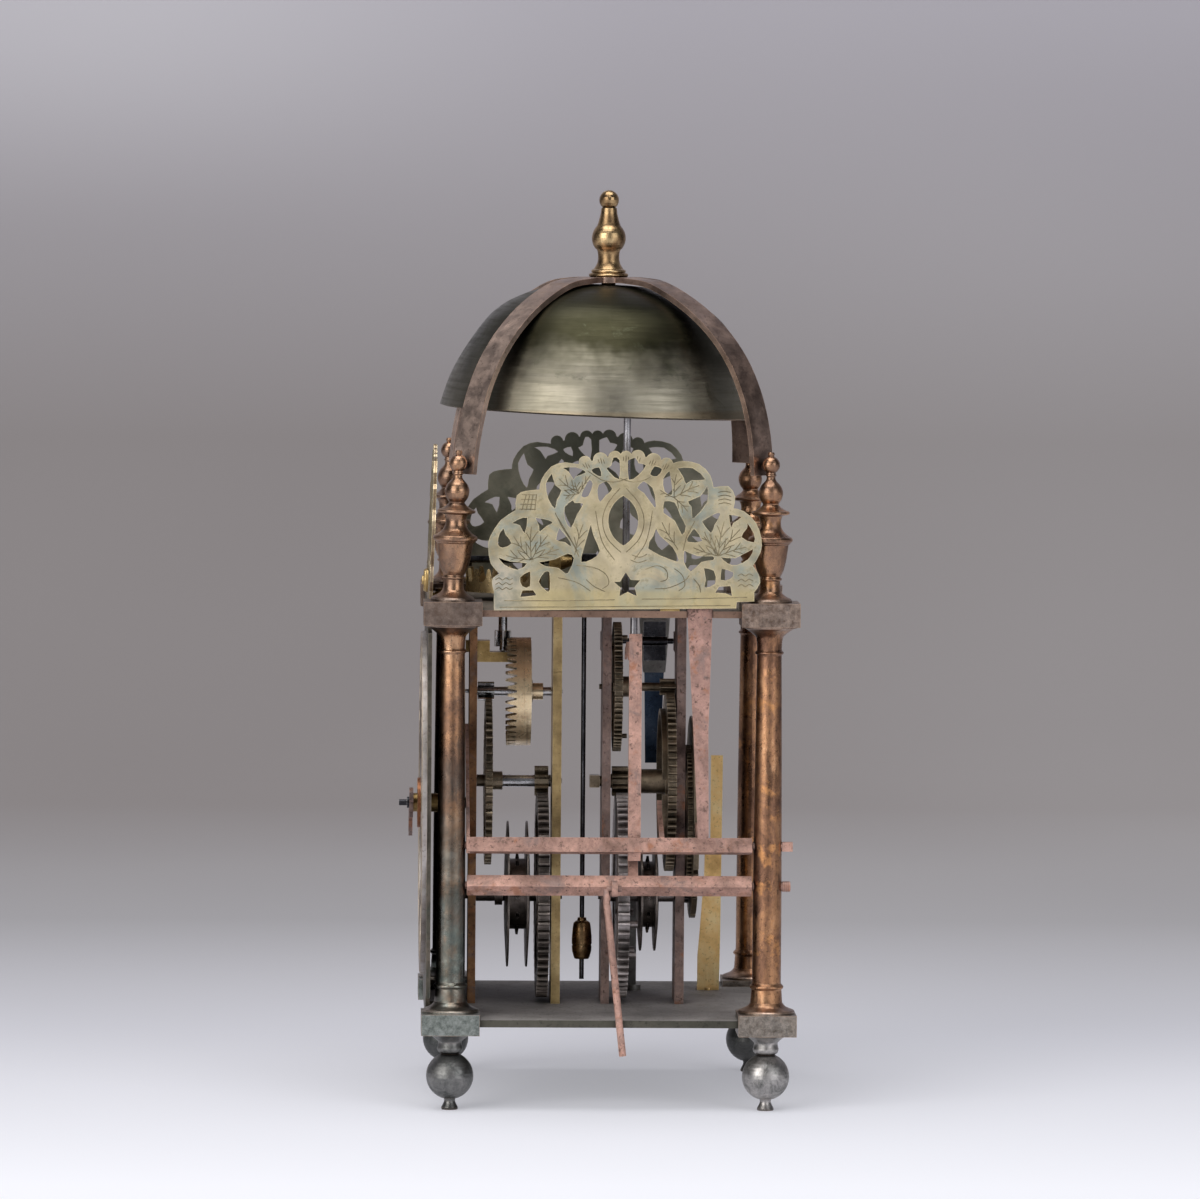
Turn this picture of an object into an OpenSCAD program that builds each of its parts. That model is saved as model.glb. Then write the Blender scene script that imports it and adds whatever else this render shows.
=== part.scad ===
// Lantern clock: a four-post brass and iron clock with a bell on top.
// Millimetres. The origin is on the floor under the middle of the whole clock. +Z is up and the dial
// faces -Y.

/* [Frame] */
// Distance between neighbouring pillar axes
pillar_span = 132; // [131:0.5:133]
// Radius of the pillar shafts at the top
pillar_r = 5.15; // [4.8:0.05:5.3]
// Side of the square corner blocks
block_side = 24.3; // [24:0.1:25]
// Height of the feet below the bottom blocks
foot_h = 32; // [32:0.5:36]
// Thickness of the bottom plate
bottom_plate_t = 3; // [2:0.1:3]
// Thickness of the top plate
top_plate_t = 2.8; // [2:0.1:3]

/* [Bell] */
// Radius of the bell's rim
bell_r = 69.3; // [68:0.1:70]
// Height of the bell from rim to crown
bell_h = 53.3; // [52:0.1:54]
// Thickness of the bell's wall
bell_t = 2.6; // [1.8:0.1:2.8]
// Width of the bell frame's straps
strap_w = 11.8; // [10:0.2:14]

/* [Frets] */
// Width of each pierced fret
fret_w = 112; // [110:1:113]
// Thickness of each fret
fret_t = 1.4; // [1:0.1:1.6]

/* [Dial] */
// Outer radius of the chapter ring
chapter_r = 73; // [68:1:76]
// Width of the chapter ring's band
chapter_band = 25; // [20:1:28]
// Length of the hour hand from its centre to its tip
hand_l = 45; // [38:1:48]

/* [Movement] */
// Width of the upright movement bars
bar_w = 26; // [22:1:28]
// Number of hammer lifting pins on the strike great wheel
lifting_pins = 8; // [6:1:8]
// Width of a tooth as a share of its pitch
tooth_share = 0.4; // [0.36:0.01:0.42]

/* [Hidden] */
$fn = 96;

// Running clearance of every pivot in its hole
run = 0.05;
// Overlap used only to cut cleanly through a wall
cut = 1;

// The frame's centre stands this far behind the origin, so that the dial work in front is counted in
setback = 4.6;

// Heights of the frame above the floor
half_span = pillar_span / 2;
block_h = 8.9;
base_mould_h = 4.4;
plate_low_z = foot_h + 3.3;
plate_low_top = plate_low_z + bottom_plate_t;
plate_high_z = 206.5;
plate_high_top = plate_high_z + top_plate_t;
capital_z = 198.6;
top_block_z = 202.9;
top_block_top = 212.7;
plate_half = 74.4;
stud_r = 2.5;

// Colours
brass_old = [0.55, 0.40, 0.26];
brass_pale = [0.72, 0.68, 0.50];
brass_bright = [0.78, 0.62, 0.38];
bronze_bell = [0.52, 0.53, 0.44];
iron_rust = [0.66, 0.50, 0.43];
iron_dark = [0.25, 0.22, 0.20];
steel_dark = [0.17, 0.17, 0.19];
steel_blue = [0.27, 0.31, 0.40];
brass_yellow = [0.66, 0.58, 0.36];
strap_brown = [0.42, 0.31, 0.25];

// Arbors: height of each on the centre line, and the planes of the wheels on them
great_z = 83.8;
second_z = 132.1;
contrate_z = 170.2;
warning_z = 172.4;
dial_z = 122.6;
count_z = 117;
escape_y = -43.7;
verge_z = 226.3;
going_second_y = [-51, -48.2];
going_great_y = [-28.8, -24.1];
strike_great_y = [4.8, 9.6];
locking_y = [25.6, 29.2];
warning_y = [3.2, 6.6];
hour_wheel_y = [-66, -63];
count_gear_y = [34.4, 36.4];
count_plate_y = [36.4, 38.6];
front_bar_y = [-57.9, -54.7];
middle_bar_y = [-22.6, -18.8];
strike_front_y = [-1.4, 2.1];
strike_rear_y = [30, 33.8];
pendulum_y = -9.2;

// Wheel and pinion counts
great_teeth = 64;
second_leaves = 8;
second_teeth = 60;
contrate_leaves = 6;
contrate_teeth = 44;
escape_leaves = 6;
crown_teeth = 15;
report_leaves = 8;
hour_teeth = 48;
locking_teeth = 72;
warning_leaves = 6;
warning_teeth = 66;
fly_leaves = 6;
count_teeth = 78;

// Near side arbors, between the right-hand pillars
lever_x = half_span;
detent_z = 110.6;
hammer_z = 93.9;
lever_bar = 6;
arbor_half_l = 59.4;

// A radius that two meshing wheels share out by their tooth counts
function pitch_r(teeth, other, distance) = distance * teeth / (teeth + other);

// One point of a Catmull-Rom curve through four keys
function curve_point(a, b, c, d, t) =
    0.5 * (2 * b + (c - a) * t + (2 * a - 5 * b + 4 * c - d) * t * t
        + (3 * b - a - 3 * c + d) * t * t * t);

// A smooth line through a few key points
function smooth(keys, steps = 5) = concat(
    [for (i = [0 : len(keys) - 2], s = [0 : steps - 1])
        curve_point(keys[max(i - 1, 0)], keys[i], keys[i + 1], keys[min(i + 2, len(keys) - 1)],
            s / steps)],
    [keys[len(keys) - 1]]);

// An arc from angle a to angle b
function arc(centre, r, a, b, steps = 8) =
    [for (i = [0 : steps]) centre + r * [cos(a + (b - a) * i / steps), sin(a + (b - a) * i / steps)]];

// The outline of a toothed wheel: radial flanks below the pitch circle and rounded tips above it
function gear_outline(teeth, r_pitch, r_tip, r_root, share) =
    let (half = 180 / teeth * share, rise = r_tip - r_pitch)
    [for (i = [0 : teeth - 1], p = [[-half, r_root], [-half, r_pitch],
        [-half * 0.72, r_pitch + rise * 0.66],
        [-half * 0.3, r_tip], [half * 0.3, r_tip], [half * 0.72, r_pitch + rise * 0.66],
        [half, r_pitch], [half, r_root]])
        let (a = i * 360 / teeth + p[0]) p[1] * [cos(a), sin(a)]];

// Sets a piece, drawn about the frame's centre, in its place over the origin
module placed() translate([0, setback, 0]) children();

// Stands the children up so that their +Z points to the dial, with their base at y_back
module facing(x, y_back, z) translate([x, y_back, z]) rotate([90, 0, 0]) children();

// A round bar along Y
module rod_y(x, z, y_from, y_to, r) facing(x, y_to, z) cylinder(h = y_to - y_from, r = r);

// A wheel's teeth as a solid disc, standing between the two planes of span
module toothed(z, span, teeth, r_pitch, r_tip, r_root, phase, share = tooth_share, x = 0)
    facing(x, span[1], z) rotate(phase)
        linear_extrude(span[1] - span[0]) polygon(gear_outline(teeth, r_pitch, r_tip, r_root, share));

// A crossed-out wheel: teeth, rim, four arms and a hub
module crossed_wheel(z, span, teeth, r_pitch, r_tip, r_root, phase, rim, hub, arm, turn = 45)
    facing(0, span[1], z) linear_extrude(span[1] - span[0]) {
        difference() {
            rotate(phase) polygon(gear_outline(teeth, r_pitch, r_tip, r_root, tooth_share));
            circle(r = r_root - rim);
        }
        circle(r = hub);
        for (a = [0, 90]) rotate(a + turn) square([2 * (r_root - rim) + rim, arm], center = true);
    }

// A turned form about the vertical axis at one place
module turned(place, profile) translate(place) rotate_extrude() polygon(profile);

// A bent round rod through the given points
module bent_rod(points, r)
    for (i = [0 : len(points) - 2]) {
        span = points[i + 1] - points[i];
        length = norm(span);
        translate(points[i]) rotate([0, acos(span[2] / length), atan2(span[1], span[0])])
            cylinder(h = length, r = r, $fn = 32);
        if (i < len(points) - 2) translate(points[i + 1]) sphere(r = r + 0.05, $fn = 32);
    }

// The four corners of the frame
function corner(side_x, side_y) = [side_x * half_span, side_y * half_span, 0];

// Frame

module plate_outline() square(2 * plate_half, center = true);

module bar_tenons(z, h, extra = 0)
    for (span = [front_bar_y, middle_bar_y, strike_front_y, strike_rear_y])
        translate([-5 - extra, span[0] + 0.4 - extra, z])
            cube([10 + 2 * extra, span[1] - span[0] - 0.8 + 2 * extra, h]);

module bottom_plate() color(iron_dark) placed() difference() {
    translate([0, 0, plate_low_z]) linear_extrude(bottom_plate_t) plate_outline();
    bar_tenons(plate_low_z - cut, bottom_plate_t + 2 * cut);
    for (x = [-1, 1], y = [-1, 1])
        translate(corner(x, y) + [0, 0, plate_low_z - cut])
            cylinder(h = bottom_plate_t + 2 * cut, r = stud_r);
    for (y = [post_y, bracket_y]) translate([far_stud_x, y, plate_low_z - cut])
        cylinder(h = bottom_plate_t + 2 * cut, r = far_stud_r);
}

// Slots and holes of the top plate
escape_r = 1.9;
slot_half = 5;

module top_plate() color(brass_old) placed() difference() {
    translate([0, 0, plate_high_z]) linear_extrude(top_plate_t) plate_outline();
    bar_tenons(plate_high_z - cut, top_plate_t + 2 * cut);
    for (x = [-1, 1], y = [-1, 1])
        translate(corner(x, y) + [0, 0, plate_high_z - cut])
            cylinder(h = top_plate_t + 2 * cut, r = stud_r);
    translate([0, escape_y, plate_high_z - cut]) cylinder(h = top_plate_t + 2 * cut, r = escape_r + run);
    translate([-slot_half, pendulum_y - 2.4, plate_high_z - cut])
        cube([2 * slot_half, 4.8, top_plate_t + 2 * cut]);
    translate([hammer_slot_x - 14, stem_y - 3.6, plate_high_z - cut])
        cube([18, 7.2, top_plate_t + 2 * cut]);
    translate([spring_x - 0.02, lever_spring_y - 6.6, plate_high_z - cut])
        cube([cut + plate_half, 11, top_plate_t + 2 * cut]);
}

// The turned shaft with its rings, from the bottom block to the top block
shaft_z = foot_h + block_h;
shaft_profile = concat(
    [[0, shaft_z - 0.1], [11.9, shaft_z - 0.1], [11.9, shaft_z + 0.8]],
    smooth([[11.4, shaft_z + 1.3], [8.2, shaft_z + 2.7], [6.7, shaft_z + base_mould_h]], 4),
    [[6.3, 50.6]],
    arc([6.2, 51.9], 0.9, -70, 70, 6),
    smooth([[6.05, 53.4], [5.95, 95], [5.55, 150], [pillar_r, 190.4]], 4),
    arc([pillar_r + 0.1, 191.7], 0.75, -80, 80, 6),
    smooth([[pillar_r, 193], [pillar_r + 0.2, 196.5], [pillar_r + 0.9, capital_z], [9.4, 201.3],
        [11.6, 202.1]], 4),
    [[11.9, top_block_z], [11.9, top_block_z + 0.1], [0, top_block_z + 0.1]]);

module plate_slot(z, t) translate([0, 0, z]) linear_extrude(t) plate_outline();

module pillar(side_x, side_y) color(brass_old) placed() difference() {
    translate(corner(side_x, side_y)) {
        rotate_extrude() polygon(shaft_profile);
        translate([-block_side / 2, -block_side / 2, foot_h]) cube([block_side, block_side, block_h]);
        translate([-block_side / 2, -block_side / 2, top_block_z])
            cube([block_side, block_side, top_block_top - top_block_z]);
    }
    plate_slot(plate_low_z, bottom_plate_t);
    plate_slot(plate_high_z, top_plate_t);
    translate(corner(side_x, side_y) + [0, 0, foot_h - cut])
        cylinder(h = block_h + cut - 0.2, r = stud_r);
    translate(corner(side_x, side_y) + [0, 0, top_block_z + 0.3])
        cylinder(h = block_h + 2 * cut, r = stud_r);
    if (side_x > 0) for (z = [detent_z, hammer_z])
        if (side_y < 0) rod_y(lever_x, z, -half_span - 1, -half_span + 8, pivot_r + run);
        else rod_y(lever_x, z, half_span - 8, half_span + 8, screw_r);
}

module front_left_pillar() pillar(-1, -1);
module front_right_pillar() pillar(1, -1);
module rear_left_pillar() pillar(-1, 1);
module rear_right_pillar() pillar(1, 1);

// A ball foot with a flared spigot below, a neck above and a stud into the block
foot_ball_z = 14.1;
foot_ball_r = 9.9;
foot_profile = concat(
    [[0, 0], [3.4, 0], [3.5, 0.8]],
    smooth([[3.3, 1.2], [2.3, 3.4], [2.6, 4.9]], 3),
    arc([0, foot_ball_z], foot_ball_r, -68, 66, 14),
    smooth([[3.7, 23.4], [4.9, 24.2], [5.4, 25.6], [5, 27.2], [5.1, 28.6], [7.4, 30.6]], 3),
    [[9.4, 31.6], [9.4, foot_h], [stud_r, foot_h], [stud_r, foot_h + block_h - 0.2],
        [0, foot_h + block_h - 0.2]]);

module foot(side_x, side_y) color(brass_old) placed() turned(corner(side_x, side_y), foot_profile);

module front_left_foot() foot(-1, -1);
module front_right_foot() foot(1, -1);
module rear_left_foot() foot(-1, 1);
module rear_right_foot() foot(1, 1);

// A turned urn finial on each corner, with a stud into the block and a hole for the bell frame's pin
urn_ball_z = 269.9;
urn_ball_r = 3.7;
urn_profile = concat(
    [[0, top_block_top - 0.6], [9.2, top_block_top - 0.6], [9.2, top_block_top + 0.7]],
    smooth([[8.7, 214.2], [6.2, 215.6], [4.6, 217.2], [4.2, 219.6], [4.2, 221.6]], 3),
    arc([4.3, 222.4], 0.65, -80, 80, 4),
    smooth([[4.3, 223.4], [5.6, 226], [6.6, 230], [7.2, 234], [7.6, 236.6]], 3),
    [[8.1, 237]],
    arc([8, 238.8], 1.3, -70, 90, 6),
    smooth([[7.6, 240.4], [5.7, 242], [4.5, 244.2], [4.3, 246.6], [4.9, 248.6]], 3),
    [[7.4, 249.3]],
    arc([7.3, 250], 0.7, -80, 80, 4),
    smooth([[6.6, 250.9], [4.4, 252.2], [3.3, 253.5]], 3),
    smooth([[3.4, 253.9], [4.6, 255.8], [5.1, 258.6], [4.2, 261.2], [2.4, 263.2], [1.85, 264.4],
        [1.9, 265.2]], 3),
    arc([1.9, 265.7], 0.4, -70, 80, 3),
    arc([0, urn_ball_z], urn_ball_r, -58, 64, 10),
    [[1.2, 273.4], [1.5, 274.4], [1.2, 275.2], [0, 275.4]]);

// Two of the urns lean a little from their seats, and the pin's hole stays on the corner's own line
pin_r = 1;
urn_lean = 1.9;
module urn(side_x, side_y, lean = 0) color(brass_old) placed() translate(corner(side_x, side_y))
    difference() {
    union() {
        difference() {
            translate([0, 0, top_block_top]) rotate([lean, 0, 0])
                turned([0, 0, -top_block_top], urn_profile);
            translate([-block_side / 2, -block_side / 2, top_block_top - 5])
                cube([block_side, block_side, 5]);
        }
        translate([0, 0, top_block_z + 0.5]) cylinder(h = top_block_top - top_block_z + 1.5, r = stud_r);
    }
    translate([0, 0, strap_end_z]) rotate([0, 90, atan2(-side_y, -side_x)])
        translate([0, 0, 1]) cylinder(h = urn_ball_r + 2, r = pin_r);
}

module front_left_urn() urn(-1, -1);
module front_right_urn() urn(1, -1, -urn_lean);
module rear_left_urn() urn(-1, 1, urn_lean);
module rear_right_urn() urn(1, 1);

// Bell and its frame

// Straps: the outer line of each runs in its own upright plane, from the hub down to its end
strap_t = 2.3;
strap_end_z = 269;
strap_foot_z = 265.4;
hub_z = 346.4;
corner_r = half_span * sqrt(2);
strap_r = corner_r - urn_ball_r - 1.54;
// The rear pair of straps bellies out a little more than the front pair
front_belly = -1.5;
rear_belly = 1.3;
function strap_keys(belly, foot) = [[8.5, hub_z], [16, hub_z - 0.3], [30, 344],
    [47.3 + belly * 0.3, 336], [62 + belly * 0.8, 325.5], [73 + belly, 313.6], [80.6 + belly, 300.6],
    [85 + belly, 288], [87.2 + (belly + foot) / 2, 276.4], [strap_r + foot, strap_foot_z]];
function side_step(line, i) =
    let (d = line[min(i + 1, len(line) - 1)] - line[max(i - 1, 0)]) [d[1], -d[0]] / norm(d);
function strap_outline(line) = concat(line,
    [for (i = [len(line) - 1 : -1 : 0]) line[i] + strap_t * side_step(line, i)]);

module strap(turn, belly, foot) rotate(turn) {
    translate([0, strap_w / 2, 0]) rotate([90, 0, 0]) linear_extrude(strap_w)
        polygon(strap_outline(concat([[0, hub_z]], smooth(strap_keys(belly, foot), 4))));
    translate([strap_r + foot - strap_t, 0, strap_end_z]) rotate([0, 90, 0])
        cylinder(h = corner_r - strap_r - foot - 1 + strap_t - 0.2, r = pin_r);
}

finial_hole_r = 3;
module bell_frame() color(strap_brown) placed() difference() {
    union() {
        for (turn = [225, 315]) strap(turn, front_belly, 0);
        strap(45, rear_belly, rear_belly);
        strap(135, rear_belly, 0);
        translate([0, 0, hub_z - strap_t]) cylinder(h = strap_t, r = 11);
    }
    translate([0, 0, hub_z - 5]) cylinder(h = 10, r = finial_hole_r);
}

// The bell hangs a little out of level, front edge up
bell_top_z = 343.2;
bell_tilt = 2;
bell_keys = [[0, 0], [14, -0.4], [28, -2.6], [39, -6.9], [46.6, -11.9], [52.4, -18.2], [60.2, -30.2],
    [65.6, -41.2], [bell_r, -bell_h]];
bell_line = smooth(bell_keys, 4);
bell_outline = concat(bell_line,
    [for (i = [len(bell_line) - 1 : -1 : 1]) bell_line[i] - bell_t * (0.55 + 0.45 * i / len(bell_line))
        * [-side_step(bell_line, i)[0], -side_step(bell_line, i)[1]]],
    [[0, -bell_t * 0.6]]);

module bell_place() translate([0, 0, bell_top_z]) rotate([-bell_tilt, 0, 0]) children();

module bell() color(bronze_bell) placed() difference() {
    bell_place() rotate_extrude($fn = 128) polygon(bell_outline);
    translate([0, 0, bell_top_z - 10]) cylinder(h = 20, r = finial_hole_r);
}

// The finial stands on the hub, and its stud goes through the hub and the crown of the bell
finial_profile = concat(
    [[0, bell_top_z - 9], [finial_hole_r, bell_top_z - 9], [finial_hole_r, hub_z], [7.9, hub_z]],
    arc([7.6, hub_z + 0.9], 0.75, -50, 80, 4),
    [[7.2, hub_z + 1.8]],
    arc([6.6, hub_z + 2.5], 0.75, -50, 80, 4),
    smooth([[6.3, hub_z + 3.4], [5, hub_z + 5.6], [4.5, hub_z + 8], [4.7, hub_z + 10.6],
        [5.3, hub_z + 12]], 3),
    arc([0, 362.9], 7.2, -40, 42, 10),
    smooth([[5, 368.2], [4.5, 369.6], [3.6, 373], [3.3, 375.6]], 3),
    arc([0, 379], 4.2, -50, 84, 8),
    [[0, 383.2]]);

module bell_finial() color(brass_bright) placed() turned([0, 0, 0], finial_profile);

module bell_nut() color(iron_dark) placed() translate([0, 0, bell_top_z - 7.6]) difference() {
    rotate(15) cylinder(h = 4.2, r = 7, $fn = 4);
    translate([0, 0, -cut]) cylinder(h = 8, r = finial_hole_r);
}

// Frets

// A pointed oval
module almond(centre, half_w, half_h)
    translate(centre) {
        lens_r = (half_w * half_w + half_h * half_h) / (2 * half_w);
        intersection() {
            translate([lens_r - half_w, 0]) circle(r = lens_r);
            translate([half_w - lens_r, 0]) circle(r = lens_r);
        }
    }

// A rounded opening whose line starts and ends in a sharp corner
module opening(points) polygon(smooth(concat(points, [points[0]]), 2));

// A row of rounded lobes that meet in sharp notches
function lobed(lobes) =
    [for (lobe = lobes) let (line = smooth(lobe, 2)) for (i = [1 : len(line) - 1]) line[i]];

// The pattern is cut by hand and its halves differ: across from the middle, and up from the lower edge
fret_edge = concat(
    [[-54.2, 0], [46.4, 0], [46.6, 2.6], [53.9, 2.8], [53.9, 6.6]],
    lobed([[[53.9, 6.6], [56.4, 10.6], [55.6, 14.4], [53.4, 17.6]],
        [[53.4, 17.6], [56.6, 23.2], [57, 29], [54.6, 35.8], [49.8, 40.3], [45.4, 41.6]],
        [[45.4, 41.6], [46.2, 46.4], [43.4, 50.8], [37.2, 50.2]],
        [[37.2, 50.2], [35.9, 55.4], [31.4, 60], [24.6, 61.4], [20.4, 60.4]]]),
    [[9, 63.2], [0, 64.2], [-9, 63]],
    lobed([[[-9, 63], [-18.4, 60.4], [-24.1, 61.2], [-30, 59.5], [-34.2, 54], [-34.9, 50]],
        [[-34.9, 50], [-40.4, 49.5], [-44.4, 47.6], [-44.9, 41.5]],
        [[-44.9, 41.5], [-51.1, 37.4], [-55.4, 30.9], [-56.4, 26.7], [-55.4, 19.4], [-51.7, 15.3]],
        [[-51.7, 15.3], [-54.6, 13.4], [-54.9, 10.6], [-54.2, 8]]]));

// The scallops of the crest: place of each top and its radius
fret_crest = [[-16, 63.8, 2.6], [-9.6, 65.2, 3.1], [-3.6, 65.8, 2.7], [1, 65.8, 2.4], [5.9, 66.1, 3],
    [12.4, 64.7, 3.3], [17.8, 62.8, 2.7]];

module fret_base_openings() {
    opening([[-39.1, 16.1], [-39.2, 9.9], [-42.3, 9.9], [-43.2, 13.7]]);
    opening([[-33.2, 15.6], [-35.5, 11.8], [-32.8, 8.3], [-31, 8.2], [-31.1, 15.7]]);
    polygon([[-42.3, 8.2], [-37.9, 8.2], [-36.5, 6.1], [-43.2, 5.5]]);
    polygon([[-4.3, 11.5], [-1.8, 11.4], [0.6, 15.4], [2.6, 12.2], [6.5, 12], [4.2, 9.2], [5.1, 5.4],
        [1.4, 7.2], [-2.1, 5.5], [-1.6, 8.9]]);
    opening([[33, 16.8], [37.2, 15.7], [37.7, 10.3], [33.2, 8.7], [33.9, 11.8]]);
    opening([[40.5, 16.6], [45.3, 14.9], [43.9, 12.2], [40, 11.9]]);
    polygon([[39.3, 9.1], [44, 9.3], [44.7, 5.1], [42, 6.3], [37.7, 6.6]]);
}

module fret_left_openings() {
    opening([[-46.4, 36.1], [-44.1, 37.5], [-40.1, 38.3], [-41.3, 31.9], [-43.1, 35.2]]);
    opening([[-36.8, 38.3], [-31.9, 37.4], [-29.6, 36.2], [-32.1, 34.9], [-35, 32.5], [-35.2, 34.8]]);
    opening([[-49.9, 34], [-49.2, 31.5], [-46.7, 27.8], [-50.4, 26], [-52.4, 27.6], [-51.6, 31.8]]);
    opening([[-26.8, 33.9], [-23, 29.1], [-22, 26.2], [-24.6, 28.1], [-28.2, 29.1]]);
    opening([[-52.1, 21.9], [-47.4, 20.2], [-40.4, 19.4], [-44.3, 16.8], [-49.8, 19]]);
    opening([[-35.3, 19.8], [-28.7, 21], [-23.4, 23.3], [-20.9, 21.3], [-22.7, 16.5], [-24.3, 15],
        [-27.3, 17.4], [-32.5, 18.1]]);
    opening([[-25.4, 58.9], [-20, 59.1], [-15.6, 57], [-20, 55.3], [-20.8, 54.1], [-22.9, 57.4]]);
    opening([[-29.8, 56.5], [-32.3, 52.4], [-31.3, 46.2], [-28.7, 42.1], [-27.8, 45.7], [-25.9, 49.6],
        [-28.4, 51.7]]);
    opening([[-14.2, 53.9], [-12.9, 52.2], [-14.8, 47.1], [-17.7, 47.1], [-15.6, 51.9]]);
    opening([[-13.3, 58.1], [-10.2, 59], [-9.4, 55.2], [-12.7, 56.8]]);
    opening([[-7.2, 53.2], [-4.8, 50], [-7.6, 47.3], [-9.9, 44.7], [-10.9, 48], [-10.4, 51.7]]);
    opening([[-7.1, 58.8], [-5.2, 59.7], [-4.2, 63], [-1.7, 61.9], [-2, 54], [-5.9, 57]]);
    opening([[-21, 45.5], [-20.4, 44.3], [-16.9, 44], [-19.5, 39.5], [-22, 34], [-24.4, 37.5],
        [-24.5, 42.7]]);
    opening([[-13.8, 35.3], [-12.5, 30.1], [-10.1, 24.2], [-13.2, 21], [-17.8, 19.8], [-16.9, 24.9],
        [-14.8, 31.9]]);
}

module fret_right_openings() {
    opening([[1.7, 61.7], [4.8, 62.9], [6.2, 60.6], [9.2, 59.7], [6.1, 55.7], [2.1, 53.8]]);
    opening([[12.8, 59.3], [15.9, 58.1], [13.8, 55.1], [10.9, 56]]);
    opening([[8.2, 53.1], [11.9, 50.3], [13.1, 44.6], [12.8, 42.1], [8.4, 48.2], [5.5, 50.4]]);
    opening([[19, 57.3], [20, 50.9], [19.8, 47.3], [16.9, 48.9], [16.4, 54.2]]);
    opening([[22.4, 58.3], [28.6, 58.4], [33.8, 53.7], [28.1, 53.4], [25.8, 51.9], [24.6, 54.9]]);
    opening([[34.6, 50.9], [34.6, 44.3], [29.2, 37.9], [28.3, 38.3], [28, 42.5], [26.6, 44.6],
        [31.8, 46.8]]);
    opening([[16.8, 44.7], [21.1, 44.2], [23.3, 38.8], [25.6, 34.3], [24, 30.7], [21.1, 36.6],
        [16.4, 40]]);
    opening([[13.3, 33.7], [15, 30.3], [20.1, 25.6], [22.6, 20.2], [19.8, 20.3], [10, 25.1],
        [12.1, 30.3]]);
    opening([[32.4, 36.2], [37.4, 39.2], [40.1, 39.4], [37.6, 34.9], [36, 31.4]]);
    opening([[43.6, 38.9], [48.8, 37.9], [45.3, 35.5], [44.4, 33.5]]);
    opening([[51.2, 35.4], [53.8, 31.1], [53.9, 27.3], [48.7, 29.6], [51, 33.2]]);
    opening([[29, 33.4], [32.4, 28.1], [26.4, 27.8], [26.8, 30.3]]);
    opening([[40.1, 21.3], [46.3, 20.9], [53.5, 24.6], [51.5, 20.4], [46.7, 18], [43, 18.7]]);
    opening([[25, 24.1], [30.4, 21.9], [36.6, 21.7], [36.9, 20.2], [32, 19.4], [27.6, 15.5],
        [24.7, 19.7]]);
}

module fret_panel() linear_extrude(fret_t) scale(fret_w / 112) difference() {
    union() {
        polygon(fret_edge);
        for (top = fret_crest) translate([top[0], top[1] - top[2]]) circle(r = top[2]);
    }
    fret_base_openings();
    fret_left_openings();
    fret_right_openings();
    almond([-0.3, 36.8], 6.2, 10.3);
}

// A side fret stands against the top plate's edge, and isn't quite level
fret_low = 0.76;
side_fret_y = 5.1;
side_fret_turn = 0.8;
left_fret_y = -1.7;
left_fret_grow = 1.04;
module side_fret(y, grow = 1) translate([plate_half, y, plate_high_top + fret_low])
    rotate([side_fret_turn, 0, 0])
    rotate([90, 0, 90]) scale([grow, grow, 1]) fret_panel();

// The front fret stands on the dial plate's upper edge and leans back a little
front_fret_y = -75.9;
front_fret_z = plate_high_top - 0.1;
fret_lean = 2;
module leaning() translate([0, front_fret_y + fret_t, front_fret_z]) rotate([90 - fret_lean, 0, 0])
    children();

// Room for the square corner blocks
block_room = block_side + 0.4;
module blocks_room() for (x = [-1, 1], y = [-1, 1])
    translate(corner(x, y) - [block_room / 2, block_room / 2, 0])
        cube([block_room, block_room, top_block_top + 0.2]);

module front_fret() color(brass_pale) placed() difference() {
    leaning() fret_panel();
    blocks_room();
    translate([-fret_w, -90, plate_high_top - 5]) cube([2 * fret_w, 30, 5]);
}

module right_fret() color(brass_pale) placed() side_fret(side_fret_y);
module left_fret() color(brass_pale) placed() difference() {
    mirror([1, 0, 0]) side_fret(left_fret_y, left_fret_grow);
    blocks_room();
}

// Small angle feet behind the frets, their screws, and the turned boss on the front fret
foot_w = 8;
foot_leg = 7;
foot_rise = 5;
module fret_angle_foot(lean = 0) {
    translate([-foot_w / 2, 0, 0]) rotate([90, 0, 90]) linear_extrude(foot_w)
        polygon([[0, 0], [foot_leg, 0], [foot_leg, 1.2], [1.2 + tan(lean), 1.2],
            [1.2 + foot_rise * tan(lean), foot_rise], [foot_rise * tan(lean), foot_rise]]);
    translate([0, 4.4, 1.2]) cylinder(h = 1.4, r = 2);
}

boss_z = 217.3;
boss_profile = concat([[0, 0], [5.2, 0], [5.2, 0.8]], arc([4, 1.1], 0.9, 0, 120, 4),
    [[2.2, 1.5], [1.9, 2.6], [0, 3]]);
module fret_fixings() color(brass_bright) placed() {
    for (x = [-34, 34]) translate([x, front_fret_y + fret_t + 0.02, plate_high_top])
        fret_angle_foot(fret_lean);
    for (y = [-34, 24]) {
        translate([plate_half, y, plate_high_top]) rotate(90) fret_angle_foot();
        translate([-plate_half, y, plate_high_top]) rotate(-90) fret_angle_foot();
    }
    leaning() translate([0, boss_z - front_fret_z, fret_t]) rotate_extrude() polygon(boss_profile);
}

// Dial

dial_t = 1.7;
dial_y = [-76.2, -74.5];
ring_y = [-78.2, -76.2];
pipe_r = 4;
dial_low = 47;
dial_high = 199.4;
dial_half = 71;
tongue_half = 52;

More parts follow.
